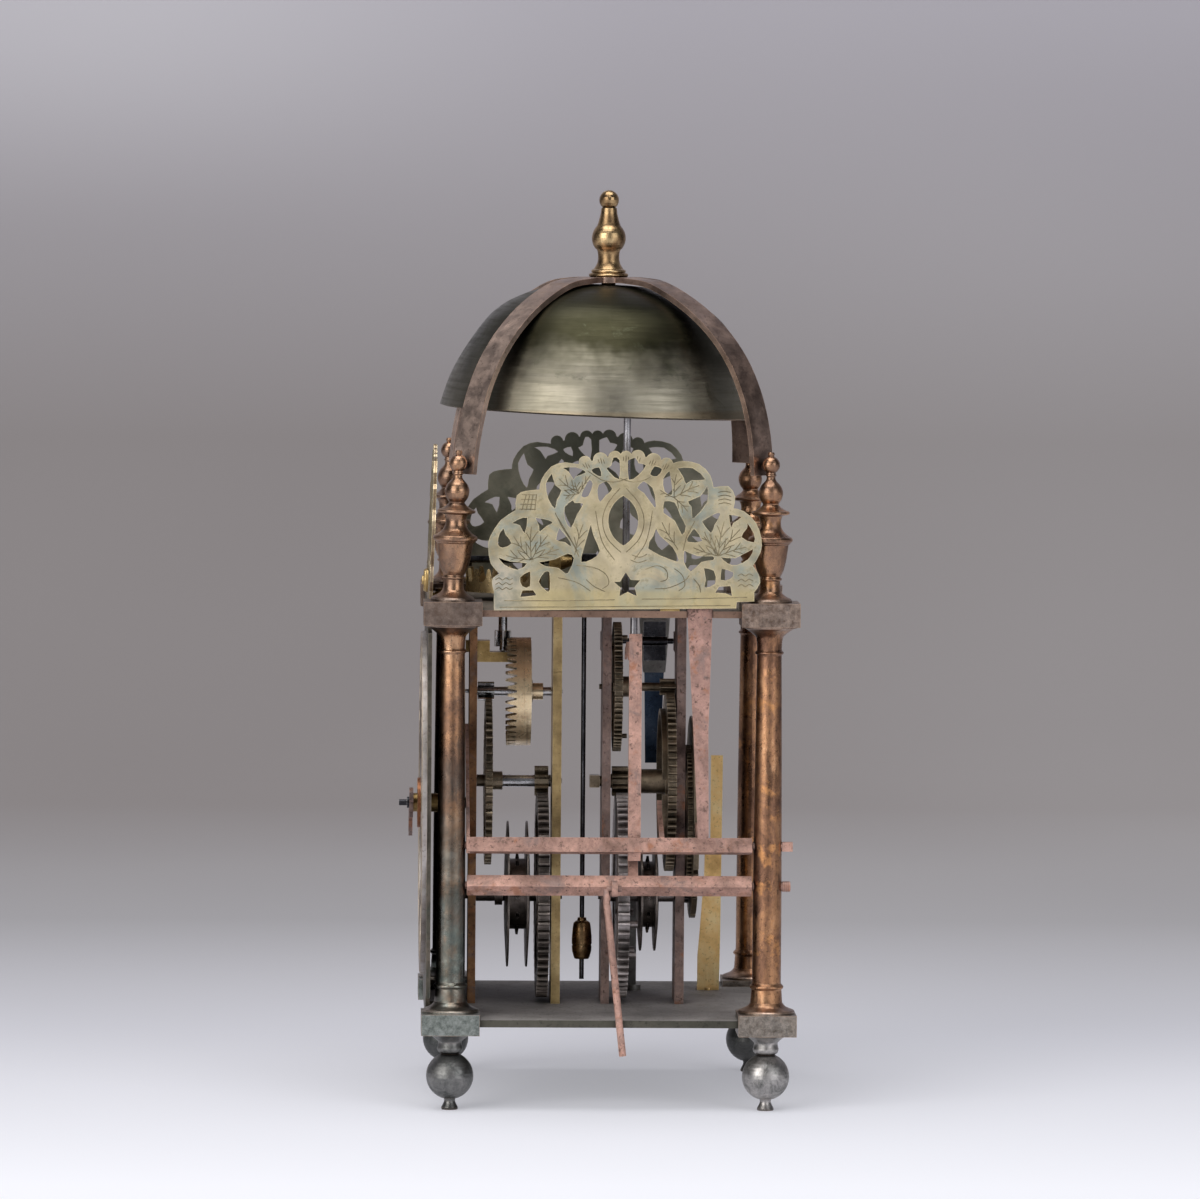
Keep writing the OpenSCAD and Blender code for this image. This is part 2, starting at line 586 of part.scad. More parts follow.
module dial_plate() color(brass_pale) placed() difference() {
    union() {
        facing(0, dial_y[1], 0) linear_extrude(dial_t) {
            translate([-dial_half, dial_low]) square([2 * dial_half, dial_high - dial_low]);
            translate([-tongue_half, plate_low_z])
                square([2 * tongue_half, plate_high_top - plate_low_z]);
        }
        for (x = [-40, 40]) rod_y(x, plate_low_top + 2, dial_y[1], -70, 2);
        for (x = [-40, 40]) rod_y(x, plate_high_z - 2, dial_y[1], -70, 2);
    }
    rod_y(0, dial_z, dial_y[0] - cut, dial_y[1] + cut, pipe_r + 0.6);
}

// The chapter ring, with its hour marks as raised numerals built from plain bars
mark_h = 0.2;
mark_r = chapter_r - 12.5;
numeral_w = 1.5;
numeral_h = 12;
numerals = [["I"], ["I", "I"], ["I", "I", "I"], ["I", "I", "I", "I"], ["V"], ["V", "I"], ["V", "I", "I"],
    ["V", "I", "I", "I"], ["I", "X"], ["X"], ["X", "I"], ["X", "I", "I"]];
function glyph_w(g) = g == "I" ? 2.9 : 6.2;
function left_of(glyphs, i) = i == 0 ? 0 : left_of(glyphs, i - 1) + glyph_w(glyphs[i - 1]);

module glyph(g) {
    if (g == "I") square([numeral_w, numeral_h], center = true);
    if (g == "V") {
        translate([-1.2, 0]) rotate(11) square([numeral_w, numeral_h], center = true);
        translate([1.2, 0]) rotate(-11) square([numeral_w * 0.5, numeral_h], center = true);
    }
    if (g == "X") {
        rotate(21) square([numeral_w, numeral_h], center = true);
        rotate(-21) square([numeral_w * 0.5, numeral_h], center = true);
    }
}

module numeral(glyphs) {
    total = left_of(glyphs, len(glyphs));
    for (i = [0 : len(glyphs) - 1])
        translate([left_of(glyphs, i) + glyph_w(glyphs[i]) / 2 - total / 2, 0]) glyph(glyphs[i]);
}

module chapter_ring() color([0.62, 0.62, 0.58]) placed() facing(0, ring_y[1], dial_z) {
    linear_extrude(ring_y[1] - ring_y[0]) difference() {
        circle(r = chapter_r);
        circle(r = chapter_r - chapter_band);
    }
    translate([0, 0, ring_y[1] - ring_y[0]]) linear_extrude(mark_h) {
        for (h = [1 : 12]) rotate(-30 * h) translate([0, mark_r]) numeral(numerals[h - 1]);
        for (h = [1 : 12]) rotate(-30 * h + 15) translate([-0.5, mark_r - 4]) square([1, 8]);
        difference() {
            circle(r = chapter_r - 1);
            circle(r = chapter_r - 1.5);
        }
        difference() {
            circle(r = chapter_r - chapter_band + 4.4);
            circle(r = chapter_r - chapter_band + 3.9);
        }
    }
}

// The fixed stud that the hour wheel's pipe turns on
post_r = 2.4;
post_end = -84;
post_tip = -87.4;
module hour_post() color(steel_dark) placed() {
    rod_y(0, dial_z, post_end, front_bar_y[0], post_r);
    rod_y(0, dial_z, post_tip, post_end, 1.3);
    rod_y(0, dial_z, front_bar_y[0], front_bar_y[1], 1.8);
}

// Movement bars

pivot_r = 1.6;
arbor_pivot = 1.1;
thin_pivot = 0.8;
great_pivot = 2.2;

module bar_blank(span) difference() {
    union() {
        translate([-bar_w / 2, span[0], plate_low_top])
            cube([bar_w, span[1] - span[0], plate_high_z - plate_low_top]);
        translate([-5, span[0] + 0.4, plate_low_z])
            cube([10, span[1] - span[0] - 0.8, bottom_plate_t + cut]);
        translate([-5, span[0] + 0.4, plate_high_z - cut])
            cube([10, span[1] - span[0] - 0.8, top_plate_t + cut]);
    }
    children();
}

module bar_hole(z, span, r) rod_y(0, z, span[0] - cut, span[1] + cut, r);

module front_bar() color(iron_rust) placed() bar_blank(front_bar_y) {
    bar_hole(great_z, front_bar_y, great_pivot + run);
    bar_hole(second_z, front_bar_y, arbor_pivot + run);
    bar_hole(contrate_z, front_bar_y, thin_pivot + run);
    bar_hole(dial_z, front_bar_y, 1.8);
    translate([-2, front_bar_y[0] - cut, potence_z + 4]) cube([4, 10, 5]);
}

module middle_bar() color(brass_yellow) placed() bar_blank(middle_bar_y) {
    bar_hole(great_z, middle_bar_y, great_pivot + run);
    bar_hole(second_z, middle_bar_y, arbor_pivot + run);
    bar_hole(contrate_z, middle_bar_y, thin_pivot + run);
}

// The strike bars carry arms for the fly's pivots
fly_tilt = 52;
fly_distance = 29.2;
fly_x = -fly_distance * sin(fly_tilt);
fly_z = warning_z + fly_distance * cos(fly_tilt);
module fly_arm(span) {
    translate([fly_x - 4, span[0], fly_z - 4]) cube([-fly_x - bar_w / 2 + 4.01, span[1] - span[0], 8]);
}

module strike_front_bar() color(iron_rust) placed() difference() {
    union() {
        bar_blank(strike_front_y);
        fly_arm(strike_front_y);
    }
    bar_hole(great_z, strike_front_y, great_pivot + run);
    bar_hole(second_z, strike_front_y, great_pivot + run);
    bar_hole(warning_z, strike_front_y, arbor_pivot + run);
    translate([fly_x, 0, fly_z]) rod_y(0, 0, strike_front_y[0] - cut, strike_front_y[1] + cut,
        thin_pivot + run);
}

module strike_rear_bar() color(iron_rust) placed() difference() {
    union() {
        bar_blank(strike_rear_y);
        fly_arm(strike_rear_y);
        rod_y(0, count_z, strike_rear_y[1] - cut, 42, 2.6);
    }
    bar_hole(great_z, strike_rear_y, great_pivot + run);
    bar_hole(second_z, strike_rear_y, arbor_pivot + run);
    bar_hole(warning_z, strike_rear_y, arbor_pivot + run);
    translate([fly_x, 0, fly_z]) rod_y(0, 0, strike_rear_y[0] - cut, strike_rear_y[1] + cut,
        thin_pivot + run);
}

// The L-shaped bracket that holds the foot of the escape arbor
potence_z = 182.9;
module escape_potence() color([0.45, 0.37, 0.18]) placed() difference() {
    union() {
        translate([-4.5, front_bar_y[1], potence_z]) cube([9, 5.4, 9]);
        translate([-4.5, front_bar_y[1], potence_z]) cube([9, 15, 4.2]);
        translate([-2, front_bar_y[0] - 1.6, potence_z + 4]) cube([4, 5, 5]);
    }
    translate([0, escape_y, potence_z + 1.4]) cylinder(h = 10, r = thin_pivot + run);
}

// Verge cocks on the top plate
cock_front_y = [-66.4, -62.6];
cock_back_y = [-24.4, -19.6];
verge_r = 1.5;
module verge_front_cock() color(brass_bright) placed() difference() {
    union() {
        translate([-5, cock_front_y[0], plate_high_top])
            cube([10, cock_front_y[1] - cock_front_y[0], 17.8]);
        rod_y(0, verge_z, cock_front_y[0], cock_front_y[1], 5);
    }
    rod_y(0, verge_z, cock_front_y[0] + 1, cock_front_y[1] + cut, arbor_pivot + run);
}

module verge_back_cock() color(brass_bright) placed() difference() {
    union() {
        translate([-6, cock_back_y[0], plate_high_top]) cube([12, cock_back_y[1] - cock_back_y[0], 17.8]);
        rod_y(0, verge_z, cock_back_y[0], cock_back_y[1], 6);
        facing(0, cock_back_y[1], verge_z) rotate([180, 0, 0]) cylinder(h = 5, r1 = 4.6, r2 = 2.6);
    }
    rod_y(0, verge_z, cock_back_y[0] - cut, cock_back_y[1] + 6, verge_r + run);
}

// Springs and posts of the far side and the rear

blade_x = -56;
blade_y = 23;
module blade_spring_block() color([0.45, 0.44, 0.42]) placed() difference() {
    translate([blade_x + 3, blade_y, 0]) rotate([0, -90, 0]) linear_extrude(6)
        polygon([[plate_high_z, -7], [plate_high_z, 7], [192, 6.2], [174.8, 4.8], [174.8, -4.8],
            [192, -6.2]]);
    translate([blade_x - 0.6, blade_y - 4.2, 170]) cube([1.2, 8.4, 14]);
}

module blade_spring() color(steel_blue) placed() translate([blade_x + 0.6, blade_y, 0])
    rotate([0, -90, 0])
    linear_extrude(1.2) polygon([[184, -4.2], [184, 4.2], [174, 4.2], [135.4, 3], [135.4, -3.6],
        [174, -4.2]]);

spring_x = 72;
spring_t = 0.9;
lever_spring_y = 37.6;
module lever_spring() color(iron_rust) placed() {
    translate([spring_x + spring_t, lever_spring_y, 0]) rotate([0, -90, 0]) linear_extrude(spring_t)
        polygon([[plate_high_top + 1.1, -6.4], [plate_high_top + 1.1, 4.2], [190, 3.7], [160, 2.9],
            [115, 3.4], [114.2, 2.8], [114.2, -0.6], [115, -1.1], [160, -3.4], [190, -5.2]]);
    translate([spring_x - 9, lever_spring_y - 6.4, plate_high_top]) cube([9.4, 10.6, 1.1]);
    translate([spring_x - 6, lever_spring_y, plate_high_top + 1.1]) cylinder(h = 1.3, r = 2.2);
}

// The bracket and the post stand on studs in the bottom plate
far_stud_x = -41;
far_stud_r = 1.6;
bracket_y = 46.7;
post_y = 13.5;
module count_bracket() color(brass_pale) placed() {
    translate([far_stud_x + 0.8, bracket_y, 0]) rotate([0, -90, 0]) linear_extrude(1.6)
        polygon([[plate_low_top, -4.6], [plate_low_top, 4.8], [64, 5.2], [140, 5.7], [140, 0.6],
            [104, 0.6], [97, -1.8], [87, -2], [78, -2.7], [64, -3.7], [53, -4.6]]);
    translate([far_stud_x - 6, bracket_y - 4.6, plate_low_top]) cube([6, 9.4, 1.6]);
    translate([far_stud_x, bracket_y, plate_low_z]) cylinder(h = bottom_plate_t + cut, r = far_stud_r);
}

module stop_post() color([0.52, 0.50, 0.47]) placed() {
    translate([far_stud_x, post_y, plate_low_top]) cylinder(h = 2.4, r = 4.2);
    translate([far_stud_x, post_y, plate_low_z]) cylinder(h = bottom_plate_t + cut, r = far_stud_r);
    translate([far_stud_x - 1.4, post_y - 2.1, plate_low_top + 2.4]) cube([2.8, 4.2, 42]);
}

// Screws in the rear right pillar that carry the rear pivots of the two lever arbors
screw_r = 2;
screw_in = half_span - 6.2;
module pivot_screws() color(iron_rust) placed() {
    for (z = [detent_z, hammer_z]) difference() {
        union() {
            rod_y(lever_x, z, screw_in, half_span + 9.6, screw_r);
            if (z == hammer_z) for (i = [0 : 3])
                rod_y(lever_x, z, half_span + 6.4 + i * 0.8, half_span + 6.8 + i * 0.8, 2.3);
            if (z == detent_z) translate([lever_x - 1.9, half_span + 6, z - 1.9]) cube([3.8, 4.4, 3.8]);
        }
        rod_y(lever_x, z, screw_in - cut, screw_in + 4.4, arbor_pivot + run);
    }
}

// Going train

great_r = pitch_r(great_teeth, second_leaves, second_z - great_z);
great_tip = great_r + 1.05;
great_root = great_r - 1.6;
second_pinion_r = pitch_r(second_leaves, great_teeth, second_z - great_z);
report_r = pitch_r(report_leaves, hour_teeth, dial_z - great_z);
hour_r = pitch_r(hour_teeth, report_leaves, dial_z - great_z);
going_second_r = pitch_r(second_teeth, contrate_leaves, contrate_z - second_z);
contrate_pinion_r = pitch_r(contrate_leaves, second_teeth, contrate_z - second_z);

module great_arbor(y_from, y_to, bar_a, bar_b) {
    rod_y(0, great_z, bar_a[1] + 0.3, bar_b[0] - 0.3, 3.2);
    rod_y(0, great_z, y_from, y_to, great_pivot);
}

module going_great_wheel() color(iron_dark) placed() {
    crossed_wheel(great_z, going_great_y, great_teeth, great_r, great_tip, great_root, 90, 6, 9, 7);
    great_arbor(-67, middle_bar_y[1] + 1, front_bar_y, middle_bar_y);
    toothed(great_z, [-66.8, -61.6], report_leaves, report_r, report_r + 1.1, report_r - 1.7,
        90 + 180 / report_leaves, 0.36);
    rod_y(0, great_z, -46.4, -43.2, 4.8);
}

// A rope pulley: two tapered flanges, a spiked core and a click spring beside it
module rope_pulley(y_mid, gap, r_flange, r_core) color(iron_dark) placed() difference() {
    union() {
        rod_y(0, great_z, y_mid - gap / 2, y_mid + gap / 2, r_core);
        for (side = [-1, 1]) facing(0, y_mid + side * gap / 2, great_z) rotate([side > 0 ? 180 : 0, 0, 0])
            rotate_extrude() polygon([[0, 0], [r_flange, 0], [r_flange, 0.7], [r_core + 2, 1.5],
                [0, 1.5]]);
        for (a = [0 : 30 : 330]) translate([0, y_mid, great_z]) rotate([0, a, 0])
            translate([0, 0, r_core - 1])
            cylinder(h = 3.4, r1 = 1, r2 = 0.5);
    }
    rod_y(0, great_z, y_mid - 20, y_mid + 20, 3.2 + run);
}

going_pulley_y = -37;
module going_pulley() rope_pulley(going_pulley_y, 7.4, 31, 15);

module going_second_wheel() color(iron_dark) placed() {
    crossed_wheel(second_z, going_second_y, second_teeth, going_second_r, going_second_r + 1.1,
        going_second_r - 1.5, 90, 4.5, 6, 5);
    toothed(second_z, [-29.8, -24], second_leaves, second_pinion_r, second_pinion_r + 1.2,
        second_pinion_r - 1.8, 270 + 180 / second_leaves, 0.34);
    rod_y(0, second_z, -48.3, -43.5, 4);
    rod_y(0, second_z, front_bar_y[1] + 0.3, middle_bar_y[0] - 0.3, 2.6);
    rod_y(0, second_z, front_bar_y[0] - 0.9, middle_bar_y[1] + 0.6, arbor_pivot);
}

// The contrate wheel's teeth stand on the front edge of its band
contrate_r = 23;
contrate_wall = 1.6;
contrate_tip_y = -42;
contrate_root_y = -38.4;
contrate_back_y = -31.8;
contrate_pitch = 360 / contrate_teeth;
module contrate_wheel() placed() {
    color(brass_bright) difference() {
        facing(0, contrate_back_y, contrate_z) cylinder(h = contrate_back_y - contrate_tip_y,
            r = contrate_r);
        facing(0, contrate_back_y - 1.8, contrate_z) cylinder(h = 20, r = contrate_r - contrate_wall);
        for (i = [0 : contrate_teeth / 2 - 1]) translate([0, contrate_root_y, contrate_z])
            rotate([0, (i + 0.5) * contrate_pitch, 0]) rotate([0, 0, 180])
                linear_extrude(2 * contrate_r + 10, center = true)
                    polygon([[-0.35, -0.3], [0.35, -0.3], [1.5, 5], [-1.5, 5]]);
    }
    color(steel_dark) {
        toothed(contrate_z, [-54.2, -47.3], contrate_leaves, contrate_pinion_r, contrate_pinion_r + 0.9,
            contrate_pinion_r - 1.5, 270 + 180 / contrate_leaves, 0.34);
        rod_y(0, contrate_z, front_bar_y[1] + 0.3, middle_bar_y[0] - 0.3, 1.9);
        rod_y(0, contrate_z, front_bar_y[0] - 1.7, middle_bar_y[1] + 0.6, thin_pivot);
    }
    color(brass_bright) {
        rod_y(0, contrate_z, contrate_back_y - 0.2, contrate_back_y + 5.3, 3.6);
        rod_y(0, contrate_z, contrate_back_y - 0.1, contrate_back_y + 0.8, 5);
    }
}

// The crown wheel above the plate, on the upright escape arbor with its pinion below
crown_r = 16;
crown_wall = 1.4;
crown_z = 212.8;
crown_tip_z = 222.8;
crown_root_z = 217.2;
escape_pinion_z = [189.4, 196];
escape_pinion_r = 3.05;
module crown_wheel() placed() translate([0, escape_y, 0]) {
    color(brass_bright) difference() {
        translate([0, 0, crown_z]) cylinder(h = crown_tip_z - crown_z, r = crown_r);
        translate([0, 0, crown_z + 1.6]) cylinder(h = 20, r = crown_r - crown_wall);
        for (i = [0 : crown_teeth - 1]) rotate((i + 0.5) * 360 / crown_teeth)
            translate([crown_r + 2, 0, 0]) rotate([90, 0, -90]) linear_extrude(6)
                polygon([[-1.7, crown_root_z + 1.2], [-0.4, crown_root_z], [1.6, crown_root_z],
                    [3.05, crown_tip_z + 1], [-3.05, crown_tip_z + 1]]);
    }
    color(steel_dark) {
        translate([0, 0, escape_pinion_z[1] - 0.1])
            cylinder(h = crown_z + 4 - escape_pinion_z[1], r = escape_r);
        translate([0, 0, escape_pinion_z[0]])
            linear_extrude(escape_pinion_z[1] - escape_pinion_z[0])
                polygon(gear_outline(escape_leaves, escape_pinion_r, 3.9, 1.4, 0.3));
        translate([0, 0, potence_z + 4.6]) cylinder(h = escape_pinion_z[0] - potence_z - 4.5, r = 1.4);
        translate([0, 0, potence_z + 1.7]) cylinder(h = 4, r = thin_pivot);
    }
}

pallet_l = 3.8;
pallet_w = 4;
module pallet(y, lean) translate([0, y, verge_z]) rotate([0, lean, 0])
    translate([-0.6, -pallet_w / 2, -pallet_l]) cube([1.2, pallet_w, pallet_l]);

hub_y = [-11.2, -4.2];
module verge() color(steel_dark) placed() {
    rod_y(0, verge_z, cock_front_y[1] + 0.4, hub_y[1] + 0.8, verge_r);
    rod_y(0, verge_z, cock_front_y[0] + 1.4, cock_front_y[1] + 1, arbor_pivot);
    pallet(escape_y - crown_r + 0.7, 45);
    pallet(escape_y + crown_r - 0.7, -45);
}

rod_r = 1;
rod_low_z = 47.5;
module pendulum_rod() color(steel_dark) placed() difference() {
    union() {
        translate([-2.6, hub_y[0], verge_z - 4]) cube([5.2, hub_y[1] - hub_y[0], 6.6]);
        translate([0, pendulum_y, rod_low_z]) cylinder(h = verge_z - 3 - rod_low_z, r = rod_r);
    }
    rod_y(0, verge_z, hub_y[0] - cut, hub_y[1] + cut, verge_r);
}

module pendulum_bob() color(brass_bright) placed() difference() {
    translate([0, pendulum_y, 0]) rotate_extrude() polygon(concat(
        [[0, 56.2], [3, 56.2], [3.5, 57.2]],
        smooth([[3.6, 57.8], [4.1, 59.6], [4.2, 61.6]], 3),
        [[4, 61.9], [4, 62.3]],
        smooth([[4.25, 62.6], [4.25, 64.6], [4.1, 67], [3.8, 70], [3.5, 71.5]], 3),
        [[2.8, 72.2], [2, 72.6], [1.8, 73.8], [0, 73.8]]));
    translate([0, pendulum_y, 50]) cylinder(h = 30, r = rod_r + run);
}

// Motion work and hand

star_points = 12;
star_r = 20;
module hour_wheel() color(brass_bright) placed() difference() {
    union() {
        crossed_wheel(dial_z, hour_wheel_y, hour_teeth, hour_r, hour_r + 1.1, hour_r - 1.9, 270, 4, 8, 5);
        rod_y(0, dial_z, -82.6, -60, pipe_r);
        facing(0, -60.1, dial_z) linear_extrude(1.8)
            polygon([for (i = [0 : 2 * star_points - 1]) (i % 2 == 0 ? star_r : star_r - 6)
                * [cos(i * 180 / star_points), sin(i * 180 / star_points)]]);
    }
    rod_y(0, dial_z, -90, -50, post_r + run);
}

hand_angle = 200;
hand_y = [-83, -81.4];
module hour_hand() color(iron_rust) placed() difference() {
    facing(0, hand_y[1], dial_z) rotate(hand_angle) linear_extrude(hand_y[1] - hand_y[0]) {
        circle(r = 6.4);
        translate([0, -1.9]) square([hand_l - 14, 3.8]);
        polygon([[hand_l - 22, -1.9], [hand_l - 18, -5.6], [hand_l - 13, -6.2], [hand_l - 8, -2.6],
            [hand_l, 0], [hand_l - 8, 2.6], [hand_l - 13, 6.2], [hand_l - 18, 5.6], [hand_l - 22, 1.9]]);
        rotate(180) polygon([[4, -1.6], [13, -2.8], [16, 0], [13, 2.8], [4, 1.6]]);
    }
    rod_y(0, dial_z, -90, -80, pipe_r);
}

alarm_r = 10.6;
alarm_y = [-79.6, -78.2];
module alarm_disc() color([0.62, 0.40, 0.30]) placed() difference() {
    rod_y(0, dial_z, alarm_y[0], alarm_y[1], alarm_r);
    rod_y(0, dial_z, -90, -70, pipe_r + run);
    for (h = [0 : 11]) translate([0, 0, dial_z]) rotate([0, 30 * h, 0])
        translate([-0.25, alarm_y[0] - cut, 7]) cube([0.5, cut + 0.3, 3]);
}

// Strike train

strike_pin_circle = 27;
module strike_great_wheel() color(iron_dark) placed() {
    crossed_wheel(great_z, strike_great_y, great_teeth, great_r, great_tip, great_root, 90, 14, 9, 8, 0);
    for (i = [0 : lifting_pins - 1]) translate([0, 0, great_z])
        rotate([0, (i + 0.5) * 360 / lifting_pins, 0])
        translate([0, 0, strike_pin_circle]) rod_y(0, 0, strike_great_y[1] - 0.2, 13.6, 1.5);
    great_arbor(strike_front_y[0] - 1, 36.2, strike_front_y, strike_rear_y);
    toothed(great_z, [34.2, 36.2], report_leaves, count_pinion_r, count_pinion_r + 0.65, 2.15,
        90 + 180 / report_leaves, 0.34);
}

strike_pulley_y = 18.6;
module strike_pulley() rope_pulley(strike_pulley_y, 5.4, 24, 14);

locking_r = pitch_r(locking_teeth, warning_leaves, warning_z - second_z);
warning_pinion_r = pitch_r(warning_leaves, locking_teeth, warning_z - second_z);
hoop_r = 30;
module locking_wheel() color(iron_dark) placed() {
    crossed_wheel(second_z, locking_y, locking_teeth, locking_r, locking_r + 0.95, locking_r - 1.4, 90,
        6, 7, 5);
    toothed(second_z, [3.1, 9.9], second_leaves, second_pinion_r, second_pinion_r + 1.2,
        second_pinion_r - 1.8, 270 + 180 / second_leaves, 0.34);
    facing(0, locking_y[0], second_z) linear_extrude(2.3) difference() {
        circle(r = hoop_r + 1);
        circle(r = hoop_r - 0.6);
        polygon([[0, 0], [60, -6], [60, 6]]);
    }
    rod_y(0, second_z, strike_front_y[1] + 0.3, 10, 3);
    rod_y(0, second_z, 9.8, 25.8, 5.2);
    rod_y(0, second_z, strike_front_y[0] - 3, strike_rear_y[0] - 0.3, great_pivot);
    rod_y(0, second_z, 29, strike_rear_y[1] + 0.6, arbor_pivot);
    translate([-2.6, strike_front_y[0] - 5, second_z - 2.6]) cube([5.2, 4.2, 5.2]);
}

warning_r = pitch_r(warning_teeth, fly_leaves, fly_distance);
fly_pinion_r = pitch_r(fly_leaves, warning_teeth, fly_distance);
module warning_wheel() color(iron_dark) placed() {
    crossed_wheel(warning_z, warning_y, warning_teeth, warning_r, warning_r + 0.75, warning_r - 1.1,
        90 + fly_tilt, 4, 5, 4);
    for (side = [-1, 1]) rod_y(0, warning_z + side * 21, warning_y[1] - 0.2, 9.3, 1);
    rod_y(0, warning_z, 6.4, 10, 4.4);
    toothed(warning_z, [23.2, 29.6], warning_leaves, warning_pinion_r, warning_pinion_r + 0.7,
        warning_pinion_r - 1.3, 270 + 180 / warning_leaves, 0.34);
    rod_y(0, warning_z, strike_front_y[1] + 0.3, strike_rear_y[0] - 0.3, 1.8);
    rod_y(0, warning_z, strike_front_y[0] - 1.2, strike_rear_y[1] + 0.6, arbor_pivot);
}

fly_half = 8.4;
module fly() color([0.2, 0.2, 0.22]) placed() {
    facing(fly_x, 7, fly_z) rotate(fly_tilt - 90 + 180 / fly_leaves) linear_extrude(4.2)
        polygon(gear_outline(fly_leaves, fly_pinion_r, fly_pinion_r + 0.55, 1.25, 0.34));
    translate([fly_x, 0, fly_z]) {
        rod_y(0, 0, strike_front_y[1] + 0.3, strike_rear_y[0] - 0.3, 1.2);
        rod_y(0, 0, strike_front_y[0] + 0.2, strike_rear_y[1] - 0.2, thin_pivot);
        translate([-0.4, 17, -fly_half]) cube([0.8, 9.6, 2 * fly_half]);
        rod_y(0, 0, 16.4, 27.2, 1.9);
    }
}

count_r = 43;
count_gear_r = pitch_r(count_teeth, report_leaves, count_z - great_z);
count_pinion_r = pitch_r(report_leaves, count_teeth, count_z - great_z);
blows = 78;
function blows_before(hour) = hour * (hour + 1) / 2;
module count_wheel() color(brass_old) placed() difference() {
    union() {
        toothed(count_z, count_gear_y, count_teeth, count_gear_r, count_gear_r + 0.6,
            count_gear_r - 0.95, 270, 0.38);
        facing(0, count_plate_y[1], count_z) linear_extrude(count_plate_y[1] - count_plate_y[0])
            difference() {
            circle(r = count_r);
            for (h = [1 : 12]) rotate(-blows_before(h) * 360 / blows) translate([count_r - 3.4, -1.3])
                square([8, 2.6]);
        }
    }
    rod_y(0, count_z, 30, 50, 2.6 + run);
    for (a = [45 : 90 : 315]) translate([0, 0, count_z]) rotate([0, a, 0]) translate([0, 0, 17])
        rod_y(0, 0, 30, 50, 8);
}

// Lever arbors

stem_y = 10;
lever_y = [7.7, 12.9];
module lever_arbor(z, turn) {
    translate([lever_x, 0, z]) rotate([0, turn, 0])
        translate([-lever_bar / 2, -arbor_half_l, -lever_bar / 2])
            cube([lever_bar, 2 * arbor_half_l, lever_bar]);
    rod_y(lever_x, z, -half_span + 0.4, -arbor_half_l + cut, pivot_r);
    rod_y(lever_x, z, arbor_half_l - cut, screw_in + 4, arbor_pivot);
}

// A flat lever in the plane of the wheels, standing between two planes
module flat_lever(span, points) facing(0, span[1], 0) linear_extrude(span[1] - span[0]) polygon(points);

module detent_arbor() color(iron_rust) placed() {
    lever_arbor(detent_z, -15);
    flat_lever(lever_y, [[62.6, 105.2], [64, 104.4], [66.4, 104.4], [67.6, 108], [67, 130], [65.4, 196],
        [64.2, 199], [61.6, 199], [61.4, 196], [62, 130], [61.8, 108]]);
    flat_lever([7.2, 8.2], [[62, 188], [62, 195.6], [44, 194.4], [27.4, 190.4], [24.6, 186.6],
        [26, 185.8], [29, 188.2], [44, 190]]);
    flat_lever([-59.7, -58.3], [[69, 107.6], [68.6, 113.6], [58, 124], [30, 146.6], [14, 157.4], [12.6, 156.4],
        [27, 143], [54, 118], [60, 107]]);
    flat_lever([20.9, 22.9], [[66, 107.6], [66, 113.6], [54, 118], [41.6, 121.6], [34.4, 127], [33.6, 126],
        [39, 118.4], [54, 111]]);
    flat_lever([36.6, 39.4], [[66, 107.6], [66, 113.6], [56, 116.6], [48, 118.6], [44.4, 118.6],
        [44.4, 115.8], [54, 110]]);
}

// The foot of the hammer's stem, let into the arbor
stem_r = 1.5;
stem_foot = [[lever_x - 2, stem_y, hammer_z + 2], [56.4, stem_y, 104], [53, stem_y, 128]];

// The hammer arbor with its tail towards the lifting pins and an eye for the pull rod
eye_x = 78.5;
eye_y = 1.8;
eye_z = 93.9;
module hammer_arbor() color(iron_rust) placed() {
    difference() {
        union() {
            lever_arbor(hammer_z, 45);
            flat_lever([stem_y - 2, stem_y + 2], [[64, 91.5], [67, 96], [59.2, 105.2], [57.6, 109],
                [53.6, 108], [54.8, 102.6]]);
        }
        bent_rod(stem_foot, stem_r);
    }
    flat_lever([14.1, 16.4], [[66, 90.2], [66, 97.4], [50, 94.6], [31.6, 91.4], [30.6, 88.4], [34, 87.6],
        [50, 89]]);
    difference() {
        translate([lever_x, eye_y - 1.2, eye_z - 2.4]) cube([eye_x - lever_x, 2.4, 4.8]);
        rod_y(eye_x, eye_z, eye_y - 5, eye_y + 5, 2);
    }
    difference() {
        rod_y(eye_x, eye_z, eye_y - 1.2, eye_y + 1.2, 3.4);
        rod_y(eye_x, eye_z, eye_y - 5, eye_y + 5, 1.3 + run);
    }
}

// The hammer's stem leans in behind the upright lever, cranks above the plate and ends in the bell
hammer_slot_x = 51;
head_z = 300;
head_x = 56.4;
crank_y = 6.4;
module hammer() color(steel_dark) placed() {
    bent_rod([stem_foot[0], stem_foot[1], stem_foot[2], [hammer_slot_x, stem_y, 200],
        [hammer_slot_x, stem_y, 213], [hammer_slot_x, crank_y, 216], [52, crank_y, 250],
            [head_x, crank_y, head_z]], stem_r);
    translate([head_x, crank_y, head_z]) rotate([0, 80, 0]) translate([0, 0, -7])
        rotate_extrude() polygon(concat([[0, 0], [4, 0]],
            smooth([[4.6, 1], [5, 5], [4.4, 9], [2.6, 11.4]], 3), [[0, 12]]));
}

pull_low = [eye_x, 5.7, 24];
module pull_rod() color(iron_rust) placed() {
    rod_y(eye_x, eye_z, eye_y - 3.4, eye_y + 3, 1.3);
    bent_rod([[eye_x, eye_y - 3.2, eye_z - 0.2], [eye_x, eye_y - 3.2, eye_z - 6], pull_low], 1.5);
}

